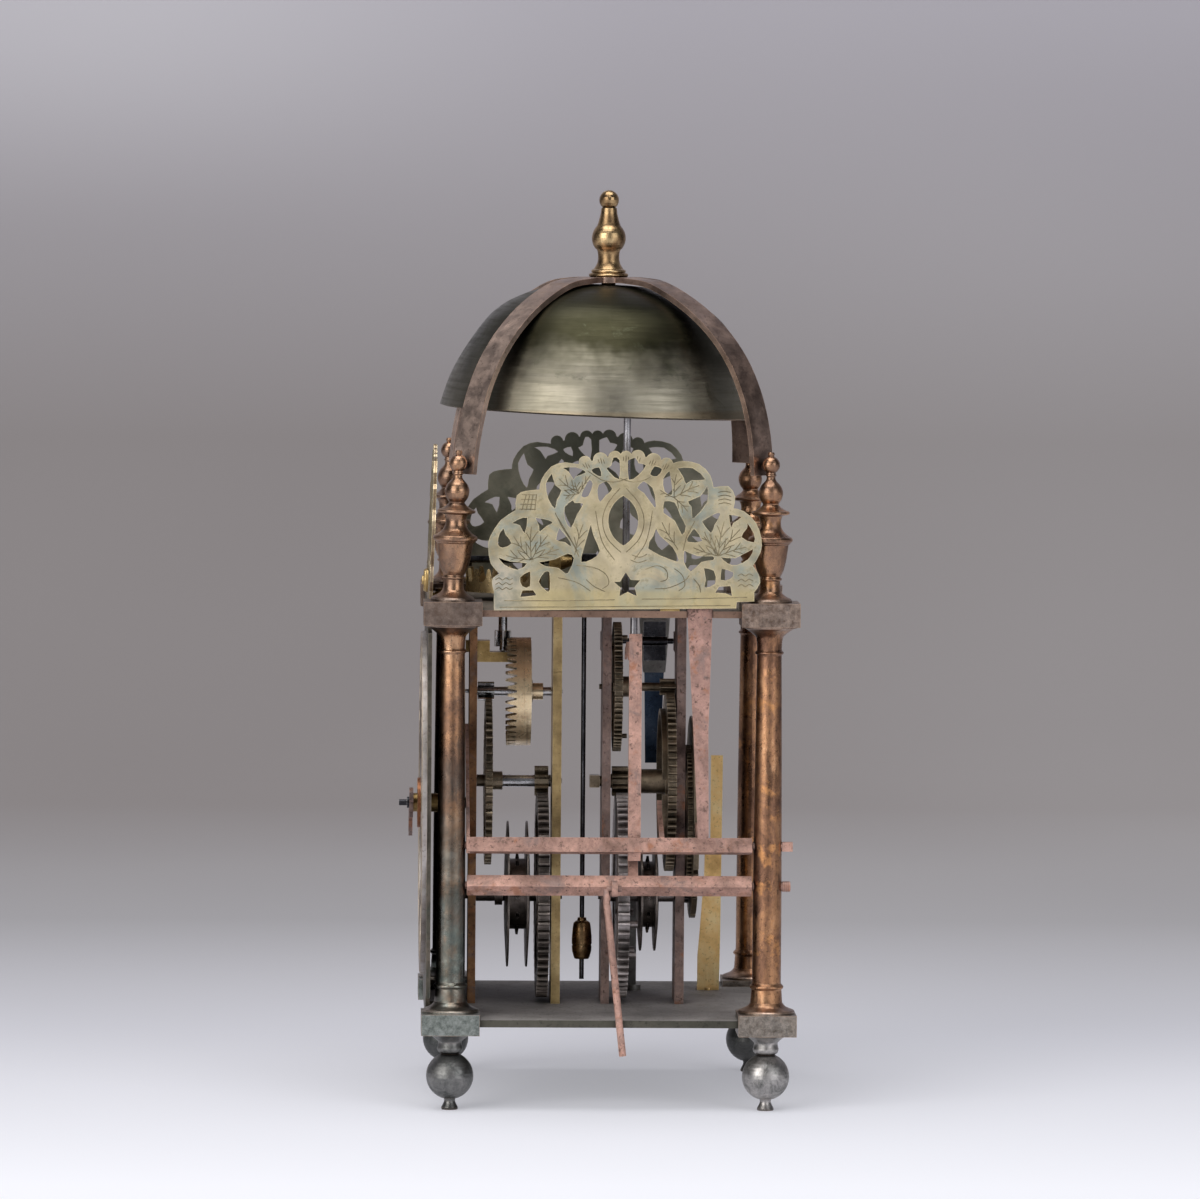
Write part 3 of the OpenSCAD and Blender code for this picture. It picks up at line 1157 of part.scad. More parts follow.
bottom_plate();
top_plate();
front_left_pillar();
front_right_pillar();
rear_left_pillar();
rear_right_pillar();
front_left_foot();
front_right_foot();
rear_left_foot();
rear_right_foot();
front_left_urn();
front_right_urn();
rear_left_urn();
rear_right_urn();
bell_frame();
bell();
bell_finial();
bell_nut();
front_fret();
right_fret();
left_fret();
fret_fixings();
dial_plate();
chapter_ring();
hour_post();
front_bar();
middle_bar();
strike_front_bar();
strike_rear_bar();
escape_potence();
verge_front_cock();
verge_back_cock();
blade_spring_block();
blade_spring();
lever_spring();
count_bracket();
stop_post();
pivot_screws();
going_great_wheel();
going_pulley();
going_second_wheel();
contrate_wheel();
crown_wheel();
verge();
pendulum_rod();
pendulum_bob();
hour_wheel();
hour_hand();
alarm_disc();
strike_great_wheel();
strike_pulley();
locking_wheel();
warning_wheel();
fly();
count_wheel();
detent_arbor();
hammer_arbor();
hammer();
pull_rod();
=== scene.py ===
import bpy, math
from mathutils import Vector, Matrix
from mathutils.bvhtree import BVHTree


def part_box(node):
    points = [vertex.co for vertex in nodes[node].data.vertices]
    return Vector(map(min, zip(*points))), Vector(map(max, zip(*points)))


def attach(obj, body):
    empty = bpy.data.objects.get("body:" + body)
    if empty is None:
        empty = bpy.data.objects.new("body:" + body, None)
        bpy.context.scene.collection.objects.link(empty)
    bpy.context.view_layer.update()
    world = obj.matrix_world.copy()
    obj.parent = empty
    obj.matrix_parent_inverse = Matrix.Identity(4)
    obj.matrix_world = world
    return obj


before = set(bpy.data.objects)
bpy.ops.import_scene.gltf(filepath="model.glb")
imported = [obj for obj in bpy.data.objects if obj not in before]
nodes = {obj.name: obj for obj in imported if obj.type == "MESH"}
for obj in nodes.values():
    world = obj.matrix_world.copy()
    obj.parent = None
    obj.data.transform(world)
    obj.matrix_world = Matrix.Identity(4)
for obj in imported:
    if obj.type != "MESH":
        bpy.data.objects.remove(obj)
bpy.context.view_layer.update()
MM = 0.001

# The pillars' square stands a little behind the origin
FRONT_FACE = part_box("front_right_pillar")[0][1]
REAR_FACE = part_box("rear_right_pillar")[1][1]
SETBACK = (FRONT_FACE + REAR_FACE) / 2

# Heights in metres at which a finish changes
BALL_TOP = 0.0325
FOOT_BLOCK_TOP = 0.0425
LOW_BLOCK_TOP = 0.046
PILLAR_MIDDLE = 0.125
HIGH_BLOCK_FOOT = 0.199
URN_FOOT = 0.214
FRET_BAND_TOP = 0.2195
BELL_MOUTH = 0.2905
CROWN_ARBOR_TOP = 0.2125

# Heights in metres of two arbors that run along Y
SECOND_ARBOR_Z = 0.1321
CONTRATE_ARBOR_Z = 0.1702


# Shader building

class Shader:
    """A small wrapper that adds nodes to one material and links them."""

    def __init__(self, name):
        self.mat = bpy.data.materials.new(name)
        self.mat.use_nodes = True
        self.tree = self.mat.node_tree
        self.tree.nodes.clear()
        self.out = self.tree.nodes.new("ShaderNodeOutputMaterial")
        self.coord = self.tree.nodes.new("ShaderNodeTexCoord").outputs["Object"]

    def connect(self, socket, value):
        """Links an input to a node's output, or sets its value."""
        if isinstance(value, bpy.types.NodeSocket):
            self.tree.links.new(value, socket)
        else:
            socket.default_value = value

    def add(self, kind, **inputs):
        """Adds a node. set_x sets its property x, i2 its third input, and another name the input so called."""
        node = self.tree.nodes.new(kind)
        for key, value in inputs.items():
            if key.startswith("set_"):
                setattr(node, key[4:], value)
        for key, value in inputs.items():
            if key.startswith("set_"):
                continue
            by_number = key[0] == "i" and key[1:].isdigit()
            self.connect(node.inputs[int(key[1:]) if by_number else key.replace("_", " ")], value)
        return node

    def stretch(self, sx, sy, sz, turn=(0, 0, 0)):
        return self.add("ShaderNodeMapping", Vector=self.coord, Scale=(sx, sy, sz), Rotation=turn).outputs[0]

    def noise(self, scale, detail=4, rough=0.6, vector=None, distort=0.0):
        node = self.add("ShaderNodeTexNoise", Vector=vector or self.coord, Scale=scale, Detail=detail,
                        Roughness=rough, Distortion=distort)
        return node.outputs["Fac"]

    def voronoi(self, scale):
        return self.add("ShaderNodeTexVoronoi", Vector=self.coord, Scale=scale).outputs["Distance"]

    def ramp(self, fac, stops):
        node = self.add("ShaderNodeValToRGB", Fac=fac)
        band = node.color_ramp
        while len(band.elements) < len(stops):
            band.elements.new(0.5)
        for element, (place, colour) in zip(band.elements, stops):
            element.position = place
            element.color = (*colour, 1)
        return node.outputs["Color"]

    def mix(self, fac, a, b):
        """Colour a where fac is 0, and b where it is 1."""
        node = self.add("ShaderNodeMix", set_data_type="RGBA", i0=fac)
        for socket, colour in ((node.inputs[6], a), (node.inputs[7], b)):
            self.connect(socket, colour if isinstance(colour, bpy.types.NodeSocket) else (*colour, 1))
        return node.outputs[2]

    def math(self, kind, a, b=None, clamp=False):
        node = self.add("ShaderNodeMath", set_operation=kind, set_use_clamp=clamp)
        for socket, value in zip(node.inputs, (a, b)):
            if value is not None:
                self.connect(socket, value)
        return node.outputs[0]

    def times(self, a, b):
        return self.math("MULTIPLY", a, b)

    def larger(self, a, b):
        return self.math("MAXIMUM", a, b)

    def span(self, value, low, high, to_low=0.0, to_high=1.0):
        """Maps low..high smoothly to to_low..to_high."""
        return self.add("ShaderNodeMapRange", set_interpolation_type="SMOOTHSTEP", Value=value, **{
            "i1": low, "i2": high, "i3": to_low, "i4": to_high}).outputs[0]

    def axis(self, letter):
        node = self.add("ShaderNodeSeparateXYZ", Vector=self.coord)
        return node.outputs[letter]

    def from_axis(self, height):
        """Distance from the line that runs along Y at this height."""
        rise = self.math("SUBTRACT", self.axis("Z"), height)
        return self.math("SQRT", self.math("ADD", self.math("MULTIPLY", self.axis("X"), self.axis("X")),
                                           self.math("MULTIPLY", rise, rise)))

    def bump(self, height, strength, distance, normal=None):
        inputs = {"Height": height, "Strength": strength, "Distance": distance}
        if normal is not None:
            inputs["Normal"] = normal
        return self.add("ShaderNodeBump", **inputs).outputs[0]

    def crevice(self, distance):
        """Ambient occlusion, used to paint shade: 1 in the open, towards 0 in corners."""
        return self.add("ShaderNodeAmbientOcclusion", set_samples=4, Distance=distance).outputs["AO"]

    def edge(self, radius):
        """Towards 1 along sharp edges."""
        bevel = self.add("ShaderNodeBevel", set_samples=4, Radius=radius).outputs[0]
        plain = self.add("ShaderNodeNewGeometry").outputs["Normal"]
        dot = self.add("ShaderNodeVectorMath", set_operation="DOT_PRODUCT", i0=bevel, i1=plain).outputs["Value"]
        return self.span(dot, 0.999, 0.86)

    def finish(self, colour, rough, metallic, normal):
        bsdf = self.add("ShaderNodeBsdfPrincipled", Base_Color=colour, Roughness=rough, Metallic=metallic,
                        Normal=normal)
        self.tree.links.new(bsdf.outputs[0], self.out.inputs["Surface"])
        return self.mat


def worn_metal(name, dark, mid, light, edge_colour, rough, scale, bump, pits=0.0, grime_and_corner_shade=0.7, edge_mix=0.6,
               grain=None, patina=None, patina_amount=(0.55, 0.7), drift=None):
    """Patinated metal: three tones by noise, painted shade in the corners, bare edges, fine grain and pits."""
    s = Shader(name)
    broad = s.noise(scale, 6, 0.65)
    tone = s.ramp(broad, [(0.32, dark), (0.5, mid), (0.68, light)])
    if patina is not None:
        cloud = s.noise(scale * 0.45, 5, 0.7, distort=0.6)
        tone = s.mix(s.span(cloud, *patina_amount), tone, patina)
    if drift is not None:
        letter, start, end, colour, amount = drift
        tone = s.mix(s.span(s.axis(letter), start, end, 0.0, amount), tone, colour)
    speck = s.noise(scale * 14, 3, 0.7)
    tone = s.mix(s.span(speck, 0.56, 0.7, 0.0, 0.5), tone, [c * 0.45 for c in dark])
    # Painted shade: darker where the ambient occlusion finds corners and gaps between parts
    ao = s.crevice(4 * MM)
    tone = s.mix(s.span(ao, 0.75, 0.2, 0.0, grime_and_corner_shade), tone, [c * 0.28 for c in dark])
    if edge_mix > 0:
        wear = s.times(s.edge(0.45 * MM), s.span(broad, 0.3, 0.55, 0.25, edge_mix))
        tone = s.mix(wear, tone, edge_colour)
    shine = s.span(s.noise(scale * 3, 5, 0.7), 0.3, 0.7, *rough)
    height = s.noise(scale * 9, 5, 0.7) if grain is None else s.noise(900, 3, 0.6, vector=s.stretch(*grain))
    normal = s.bump(height, bump, 0.25 * MM)
    if pits > 0:
        cells = s.span(s.voronoi(scale * 12), 0.02, 0.32)
        normal = s.bump(cells, pits, 0.35 * MM, normal)
    return s.finish(tone, shine, 1.0, normal)


def pillar_metal():
    s = Shader("pillar_brass")
    across, back, up = s.axis("X"), s.axis("Y"), s.axis("Z")
    broad = s.noise(58, 8, 0.75, distort=0.3, vector=s.stretch(1.0, 1.0, 0.6))
    tone = s.ramp(broad, [(0.32, (0.095, 0.052, 0.036)), (0.46, (0.23, 0.122, 0.075)),
                          (0.57, (0.42, 0.22, 0.115)), (0.68, (0.60, 0.36, 0.21))])
    streak = s.noise(150, 5, 0.7, vector=s.stretch(1.0, 1.0, 0.22))
    tone = s.mix(s.span(streak, 0.52, 0.66, 0.0, 0.7), tone, (0.075, 0.042, 0.03))
    glow = s.times(s.span(s.noise(95, 4, 0.7), 0.55, 0.68), s.span(back, 0.0, 0.03, 0.2, 0.7))
    tone = s.mix(glow, tone, (0.62, 0.30, 0.12))
    speck = s.noise(900, 3, 0.7)
    tone = s.mix(s.span(speck, 0.56, 0.68, 0.0, 0.6), tone, (0.03, 0.018, 0.013))
    # Green-grey tarnish on the front pillars, stronger towards the floor
    front = s.span(back, SETBACK - 0.03, SETBACK - 0.055)
    low = s.span(up, 0.16, 0.07, 0.12, 1.0)
    cloud = s.span(s.noise(30, 5, 0.7), 0.3, 0.62)
    green = s.times(s.times(front, low), s.span(cloud, 0.0, 1.0, 0.6, 1.0))
    tarnish = s.ramp(s.noise(85, 6, 0.72, distort=0.7), [
        (0.32, (0.045, 0.058, 0.052)), (0.52, (0.13, 0.155, 0.14)), (0.7, (0.30, 0.34, 0.31))])
    tone = s.mix(s.times(green, 0.96), tone, tarnish)
    # Greyer end blocks
    high_block = s.times(s.span(up, HIGH_BLOCK_FOOT, HIGH_BLOCK_FOOT + 0.004),
                         s.span(up, URN_FOOT + 0.002, URN_FOOT - 0.001, 0.0, 0.8))
    block = s.math("ADD", s.span(up, LOW_BLOCK_TOP, LOW_BLOCK_TOP - 0.006, 0.0, 0.85), high_block)
    fine = s.noise(330, 7, 0.8)
    grey = s.ramp(fine, [(0.36, (0.11, 0.085, 0.072)), (0.5, (0.27, 0.225, 0.195)), (0.64, (0.47, 0.38, 0.32))])
    tone = s.mix(s.times(block, s.span(broad, 0.25, 0.55, 0.75, 1.0)), tone, grey)
    umber = s.times(s.span(up, HIGH_BLOCK_FOOT - 0.001, HIGH_BLOCK_FOOT + 0.003),
                    s.span(back, SETBACK, SETBACK - 0.05, 0.0, 0.5))
    umber = s.times(umber, s.span(up, URN_FOOT, URN_FOOT - 0.0015))
    tone = s.mix(umber, tone, (0.12, 0.085, 0.07))
    below = s.times(s.span(up, FOOT_BLOCK_TOP, FOOT_BLOCK_TOP - 0.002),
                    s.span(back, SETBACK - 0.01, SETBACK - 0.05, 0.32, 0.85))
    tone = s.mix(below, tone, s.ramp(fine, [(0.37, (0.12, 0.145, 0.13)), (0.62, (0.34, 0.38, 0.36))]))
    # The ball feet are bare polished grey, with painted shade darkening them at the front and on the left
    ball = s.span(up, BALL_TOP, BALL_TOP - 0.0025, 0.0, 0.9)
    tone = s.mix(ball, tone, s.ramp(s.noise(150, 7, 0.78, distort=0.5), [
        (0.34, (0.10, 0.105, 0.10)), (0.5, (0.38, 0.37, 0.36)), (0.66, (0.62, 0.59, 0.57))]))
    shade = s.larger(s.span(back, SETBACK, SETBACK - 0.05, 0.0, 0.62), s.span(across, 0.0, -0.04, 0.0, 0.92))
    tone = s.mix(s.times(ball, shade), tone, (0.055, 0.06, 0.058))
    # The rear left pillar is a little darker, the urns are paler, and the front pillars are dark at the middle
    far_back = s.times(s.span(across, -0.03, -0.05), s.span(back, 0.03, 0.05))
    tone = s.mix(s.times(far_back, 0.1), tone, (0.04, 0.022, 0.016))
    tone = s.mix(s.span(up, URN_FOOT, URN_FOOT + 0.002, 0.0, 0.12), tone, (0.74, 0.50, 0.34))
    from_middle = s.math("ABSOLUTE", s.math("SUBTRACT", up, PILLAR_MIDDLE))
    waist = s.times(front, s.span(from_middle, 0.05, 0.02, 0.0, 0.3))
    tone = s.mix(waist, tone, (0.05, 0.038, 0.03))
    # Painted shade: near black where the ambient occlusion finds corners and gaps
    ao = s.crevice(5 * MM)
    tone = s.mix(s.span(ao, 0.85, 0.3, 0.0, 0.9), tone, (0.012, 0.009, 0.007))
    wear = s.times(s.edge(0.5 * MM), s.span(broad, 0.35, 0.6, 0.15, 0.6))
    tone = s.mix(wear, tone, (0.66, 0.45, 0.32))
    shine = s.span(s.noise(130, 5, 0.7), 0.3, 0.7, 0.22, 0.42)
    shine = s.math("ADD", shine, s.times(block, 0.12))
    normal = s.bump(s.noise(420, 6, 0.7), 0.2, 0.2 * MM)
    normal = s.bump(s.span(s.voronoi(700), 0.02, 0.3), 0.12, 0.2 * MM, normal)
    return s.finish(tone, shine, 1.0, normal)


def bell_metal():
    s = Shader("bell_bronze")
    back, up = s.axis("Y"), s.axis("Z")
    broad = s.noise(14, 5, 0.6)
    tone = s.ramp(broad, [(0.3, (0.22, 0.20, 0.15)), (0.52, (0.42, 0.385, 0.305)), (0.72, (0.56, 0.51, 0.415))])
    # Turning marks run round the bell
    rings = s.noise(700, 4, 0.7, vector=s.stretch(0.04, 0.04, 1.0))
    tone = s.mix(s.span(rings, 0.35, 0.68, 0.0, 0.45), tone, (0.16, 0.15, 0.105))
    # Painted shade and dark reflection, in dark olive, towards the crown and to both sides
    olive_shade = s.ramp(broad, [(0.3, (0.022, 0.021, 0.010)), (0.7, (0.046, 0.042, 0.023))])
    wander = s.span(s.noise(26, 4, 0.6), 0.3, 0.7, -0.006, 0.006)
    crown = s.span(s.math("ADD", up, wander), BELL_MOUTH + 0.0105, BELL_MOUTH + 0.0305, 0.0, 0.97)
    aside = s.math("ADD", back, 0.004 - SETBACK)
    sides = s.larger(s.span(aside, -0.036, -0.052, 0.0, 0.68), s.span(aside, 0.030, 0.052, 0.0, 0.12))
    tone = s.mix(sides, tone, olive_shade)
    tone = s.mix(crown, tone, olive_shade)
    stain = s.noise(60, 6, 0.75, distort=0.8)
    tone = s.mix(s.span(stain, 0.56, 0.7, 0.0, 0.55), tone, (0.09, 0.095, 0.06))
    fleck = s.span(s.voronoi(210), 0.0, 0.09, 0.8, 0.0)
    tone = s.mix(s.times(fleck, s.span(s.noise(50, 3, 0.6), 0.48, 0.62)), tone, (0.04, 0.042, 0.03))
    rim = s.span(up, BELL_MOUTH + 0.002, BELL_MOUTH, 0.0, 0.5)
    tone = s.mix(rim, tone, (0.30, 0.22, 0.13))
    # Painted shade: darker where the ambient occlusion finds corners and gaps
    ao = s.crevice(8 * MM)
    tone = s.mix(s.span(ao, 0.8, 0.3, 0.0, 0.7), tone, (0.025, 0.025, 0.018))
    shine = s.math("ADD", s.span(s.noise(90, 5, 0.7), 0.3, 0.7, 0.30, 0.41), s.span(rings, 0.4, 0.7, 0.0, 0.1))
    normal = s.bump(rings, 0.16, 0.12 * MM)
    scratch = s.noise(260, 2, 0.5, vector=s.stretch(1.0, 0.06, 0.9, (0.3, 0.1, 0.5)))
    normal = s.bump(s.span(scratch, 0.6, 0.7), 0.10, 0.1 * MM, normal)
    return s.finish(tone, shine, 1.0, normal)


def fret_metal():
    s = Shader("fret_brass")
    across, back, up = s.axis("X"), s.axis("Y"), s.axis("Z")
    broad = s.noise(38, 6, 0.7, distort=0.5)
    tone = s.ramp(broad, [(0.30, (0.40, 0.335, 0.20)), (0.48, (0.57, 0.485, 0.31)), (0.66, (0.70, 0.60, 0.41))])
    cloud = s.noise(26, 6, 0.72, distort=0.9)
    tone = s.mix(s.span(cloud, 0.48, 0.66, 0.0, 0.8), tone, (0.36, 0.41, 0.37))
    dun = s.noise(21, 5, 0.7, distort=1.2)
    tone = s.mix(s.span(dun, 0.55, 0.7, 0.0, 0.6), tone, (0.50, 0.38, 0.235))
    spots = s.noise(240, 4, 0.75)
    tone = s.mix(s.span(spots, 0.55, 0.68, 0.0, 0.45), tone, (0.24, 0.20, 0.115))
    base = s.span(up, FRET_BAND_TOP, FRET_BAND_TOP - 0.003, 0.0, 0.55)
    tone = s.mix(base, tone, (0.62, 0.51, 0.26))
    front_lobe = s.times(s.span(back, SETBACK - 0.028, SETBACK - 0.048), s.span(up, 0.236, 0.222, 0.0, 0.7))
    tone = s.mix(front_lobe, tone, s.ramp(spots, [(0.4, (0.36, 0.39, 0.36)), (0.62, (0.62, 0.56, 0.48))]))
    # The left fret is greener and carries painted shade, darker overall and darkest at its crest
    left = s.span(across, 0.0, -0.05, 0.0, 0.92)
    far = s.ramp(cloud, [(0.34, (0.14, 0.15, 0.12)), (0.5, (0.29, 0.29, 0.23)), (0.66, (0.44, 0.40, 0.31))])
    crest = s.span(up, 0.246, 0.264, 0.0, 0.9)
    middle = s.span(s.math("ABSOLUTE", s.math("SUBTRACT", back, SETBACK)), 0.036, 0.024)
    far = s.mix(s.times(crest, s.span(middle, 0.0, 1.0, 0.35, 0.85)), far, (0.045, 0.056, 0.048))
    tone = s.mix(left, tone, far)
    front = s.span(back, FRONT_FACE + 0.010, FRONT_FACE + 0.005, 0.0, 0.7)
    tone = s.mix(front, tone, (0.22, 0.13, 0.08))
    # Painted shade: darker where the ambient occlusion finds corners and gaps
    ao = s.crevice(1.5 * MM)
    tone = s.mix(s.span(ao, 0.7, 0.3, 0.0, 0.6), tone, (0.05, 0.045, 0.03))
    # Bright cut edges, partly the bare metal of the cuts and partly painted highlight, weaker on the shaded
    # left fret
    cut_edge_and_highlight = s.times(s.edge(0.7 * MM), s.span(left, 0.0, 1.0, 0.85, 0.15))
    tone = s.mix(cut_edge_and_highlight, tone, (0.86, 0.74, 0.47))
    shine = s.span(s.noise(120, 5, 0.7), 0.3, 0.7, 0.36, 0.58)
    normal = s.bump(s.noise(500, 5, 0.7), 0.18, 0.15 * MM)
    file_marks = s.noise(420, 3, 0.6, vector=s.stretch(1, 0.10, 1.0, (0.25, 0, 0)))
    normal = s.bump(file_marks, 0.12, 0.1 * MM, normal)
    return s.finish(tone, shine, 1.0, normal)


def rusty_iron(name, light, dark=(0.16, 0.085, 0.062), metallic=0.2):
    s = Shader(name)
    broad = s.noise(60, 7, 0.75, distort=0.4)
    tone = s.ramp(broad, [(0.28, dark), (0.44, [c * 0.62 for c in light]), (0.6, light),
                          (0.8, [min(1, c * 1.3 + 0.03) for c in light])])
    pit = s.noise(420, 5, 0.8)
    tone = s.mix(s.span(pit, 0.54, 0.64, 0.0, 0.8), tone, (0.05, 0.026, 0.02))
    orange = s.noise(110, 5, 0.7)
    tone = s.mix(s.span(orange, 0.54, 0.68, 0.0, 0.6), tone, (0.36, 0.13, 0.05))
    grey = s.noise(75, 5, 0.7, distort=0.5)
    tone = s.mix(s.span(grey, 0.52, 0.66, 0.0, 0.6), tone, (0.19, 0.145, 0.135))
    scale = s.noise(260, 6, 0.8)
    tone = s.mix(s.span(scale, 0.5, 0.64, 0.0, 0.4), tone, [c * 0.4 for c in light])
    # Painted shade: darker where the ambient occlusion finds corners and gaps
    ao = s.crevice(5 * MM)
    tone = s.mix(s.span(ao, 0.8, 0.3, 0.0, 0.75), tone, (0.02, 0.012, 0.01))
    tone = s.mix(s.times(s.edge(0.4 * MM), 0.35), tone, [min(1, c * 1.35) for c in light])
    shine = s.span(s.noise(200, 5, 0.7), 0.3, 0.7, 0.42, 0.75)
    normal = s.bump(s.noise(380, 6, 0.75), 0.45, 0.3 * MM)
    normal = s.bump(s.span(s.voronoi(330), 0.02, 0.35), 0.25, 0.3 * MM, normal)
    return s.finish(tone, shine, metallic, normal)


def plate_metal(name, top_colour, edge_colour, dark):
    """A plate with dust on what faces up, and bare edges."""
    s = Shader(name)
    broad = s.noise(24, 6, 0.7)
    body = s.ramp(broad, [(0.3, dark), (0.7, edge_colour)])
    up = s.add("ShaderNodeSeparateXYZ", Vector=s.add("ShaderNodeNewGeometry").outputs["Normal"]).outputs["Z"]
    dust = s.times(s.span(up, 0.5, 0.9), s.span(s.noise(70, 5, 0.7), 0.25, 0.6, 0.6, 1.0))
    tone = s.mix(dust, body, s.ramp(broad, [(0.3, [c * 0.6 for c in top_colour]), (0.7, top_colour)]))
    speck = s.noise(520, 4, 0.7)
    tone = s.mix(s.span(speck, 0.56, 0.68, 0.0, 0.6), tone, [c * 0.5 for c in dark])
    # Painted shade: darker where the ambient occlusion finds corners and gaps
    ao = s.crevice(7 * MM)
    tone = s.mix(s.span(ao, 0.8, 0.3, 0.0, 0.7), tone, [c * 0.3 for c in dark])
    shine = s.span(dust, 0.0, 1.0, 0.42, 0.75)
    metal = s.span(dust, 0.0, 1.0, 0.9, 0.15)
    normal = s.bump(s.noise(400, 5, 0.7), 0.25, 0.2 * MM)
    return s.finish(tone, shine, metal, normal)


def geared_metal(name, tones, steel_where, lines=None):
    """A brass wheel on a steel arbor: the mask says where the steel is."""
    s = Shader(name)
    tone = s.ramp(s.noise(60, 5, 0.6), [(0.3, tones[0]), (0.7, tones[1])])
    if lines is not None:
        turned = s.noise(1300, 2, 0.5, vector=s.stretch(0.02, 1.0, 0.02))
        tone = s.mix(s.span(turned, 0.55, 0.62, 0.0, 0.45), tone, lines)
    grime_and_corner_shade = s.noise(150, 5, 0.7)
    tone = s.mix(s.span(grime_and_corner_shade, 0.54, 0.68, 0.0, 0.5), tone, [c * 0.3 for c in tones[0]])
    steel = steel_where(s)
    bright = s.ramp(s.noise(110, 4, 0.6, vector=s.stretch(1.0, 0.2, 1.0)), [
        (0.35, (0.16, 0.16, 0.165)), (0.5, (0.52, 0.52, 0.53)), (0.65, (0.92, 0.92, 0.94))])
    tone = s.mix(steel, tone, bright)
    # Painted shade: near black where the ambient occlusion finds corners and gaps
    ao = s.crevice(3 * MM)
    tone = s.mix(s.span(ao, 0.8, 0.3, 0.0, 0.85), tone, (0.02, 0.012, 0.006))
    tone = s.mix(s.times(s.edge(0.3 * MM), 0.5), tone, [min(0.95, c * 1.4) for c in tones[1]])
    shine = s.span(s.noise(150, 4, 0.6), 0.3, 0.7, 0.2, 0.38)
    normal = s.bump(s.noise(600, 4, 0.6), 0.12, 0.12 * MM)
    return s.finish(tone, shine, s.span(steel, 0.0, 1.0, 0.65, 1.0), normal)


def contrate_steel(s):
    front = s.span(s.axis("Y"), SETBACK - 0.0435, SETBACK - 0.0445)
    thin = s.span(s.from_axis(CONTRATE_ARBOR_Z), 0.0031, 0.0029)
    return s.larger(front, thin)


def second_steel(s):
    return s.times(s.span(s.from_axis(SECOND_ARBOR_Z), 0.0033, 0.0030),
                   s.span(s.axis("Y"), SETBACK - 0.0450, SETBACK - 0.0430))


def crown_steel(s):
    return s.span(s.axis("Z"), CROWN_ARBOR_TOP, CROWN_ARBOR_TOP - 0.0005)


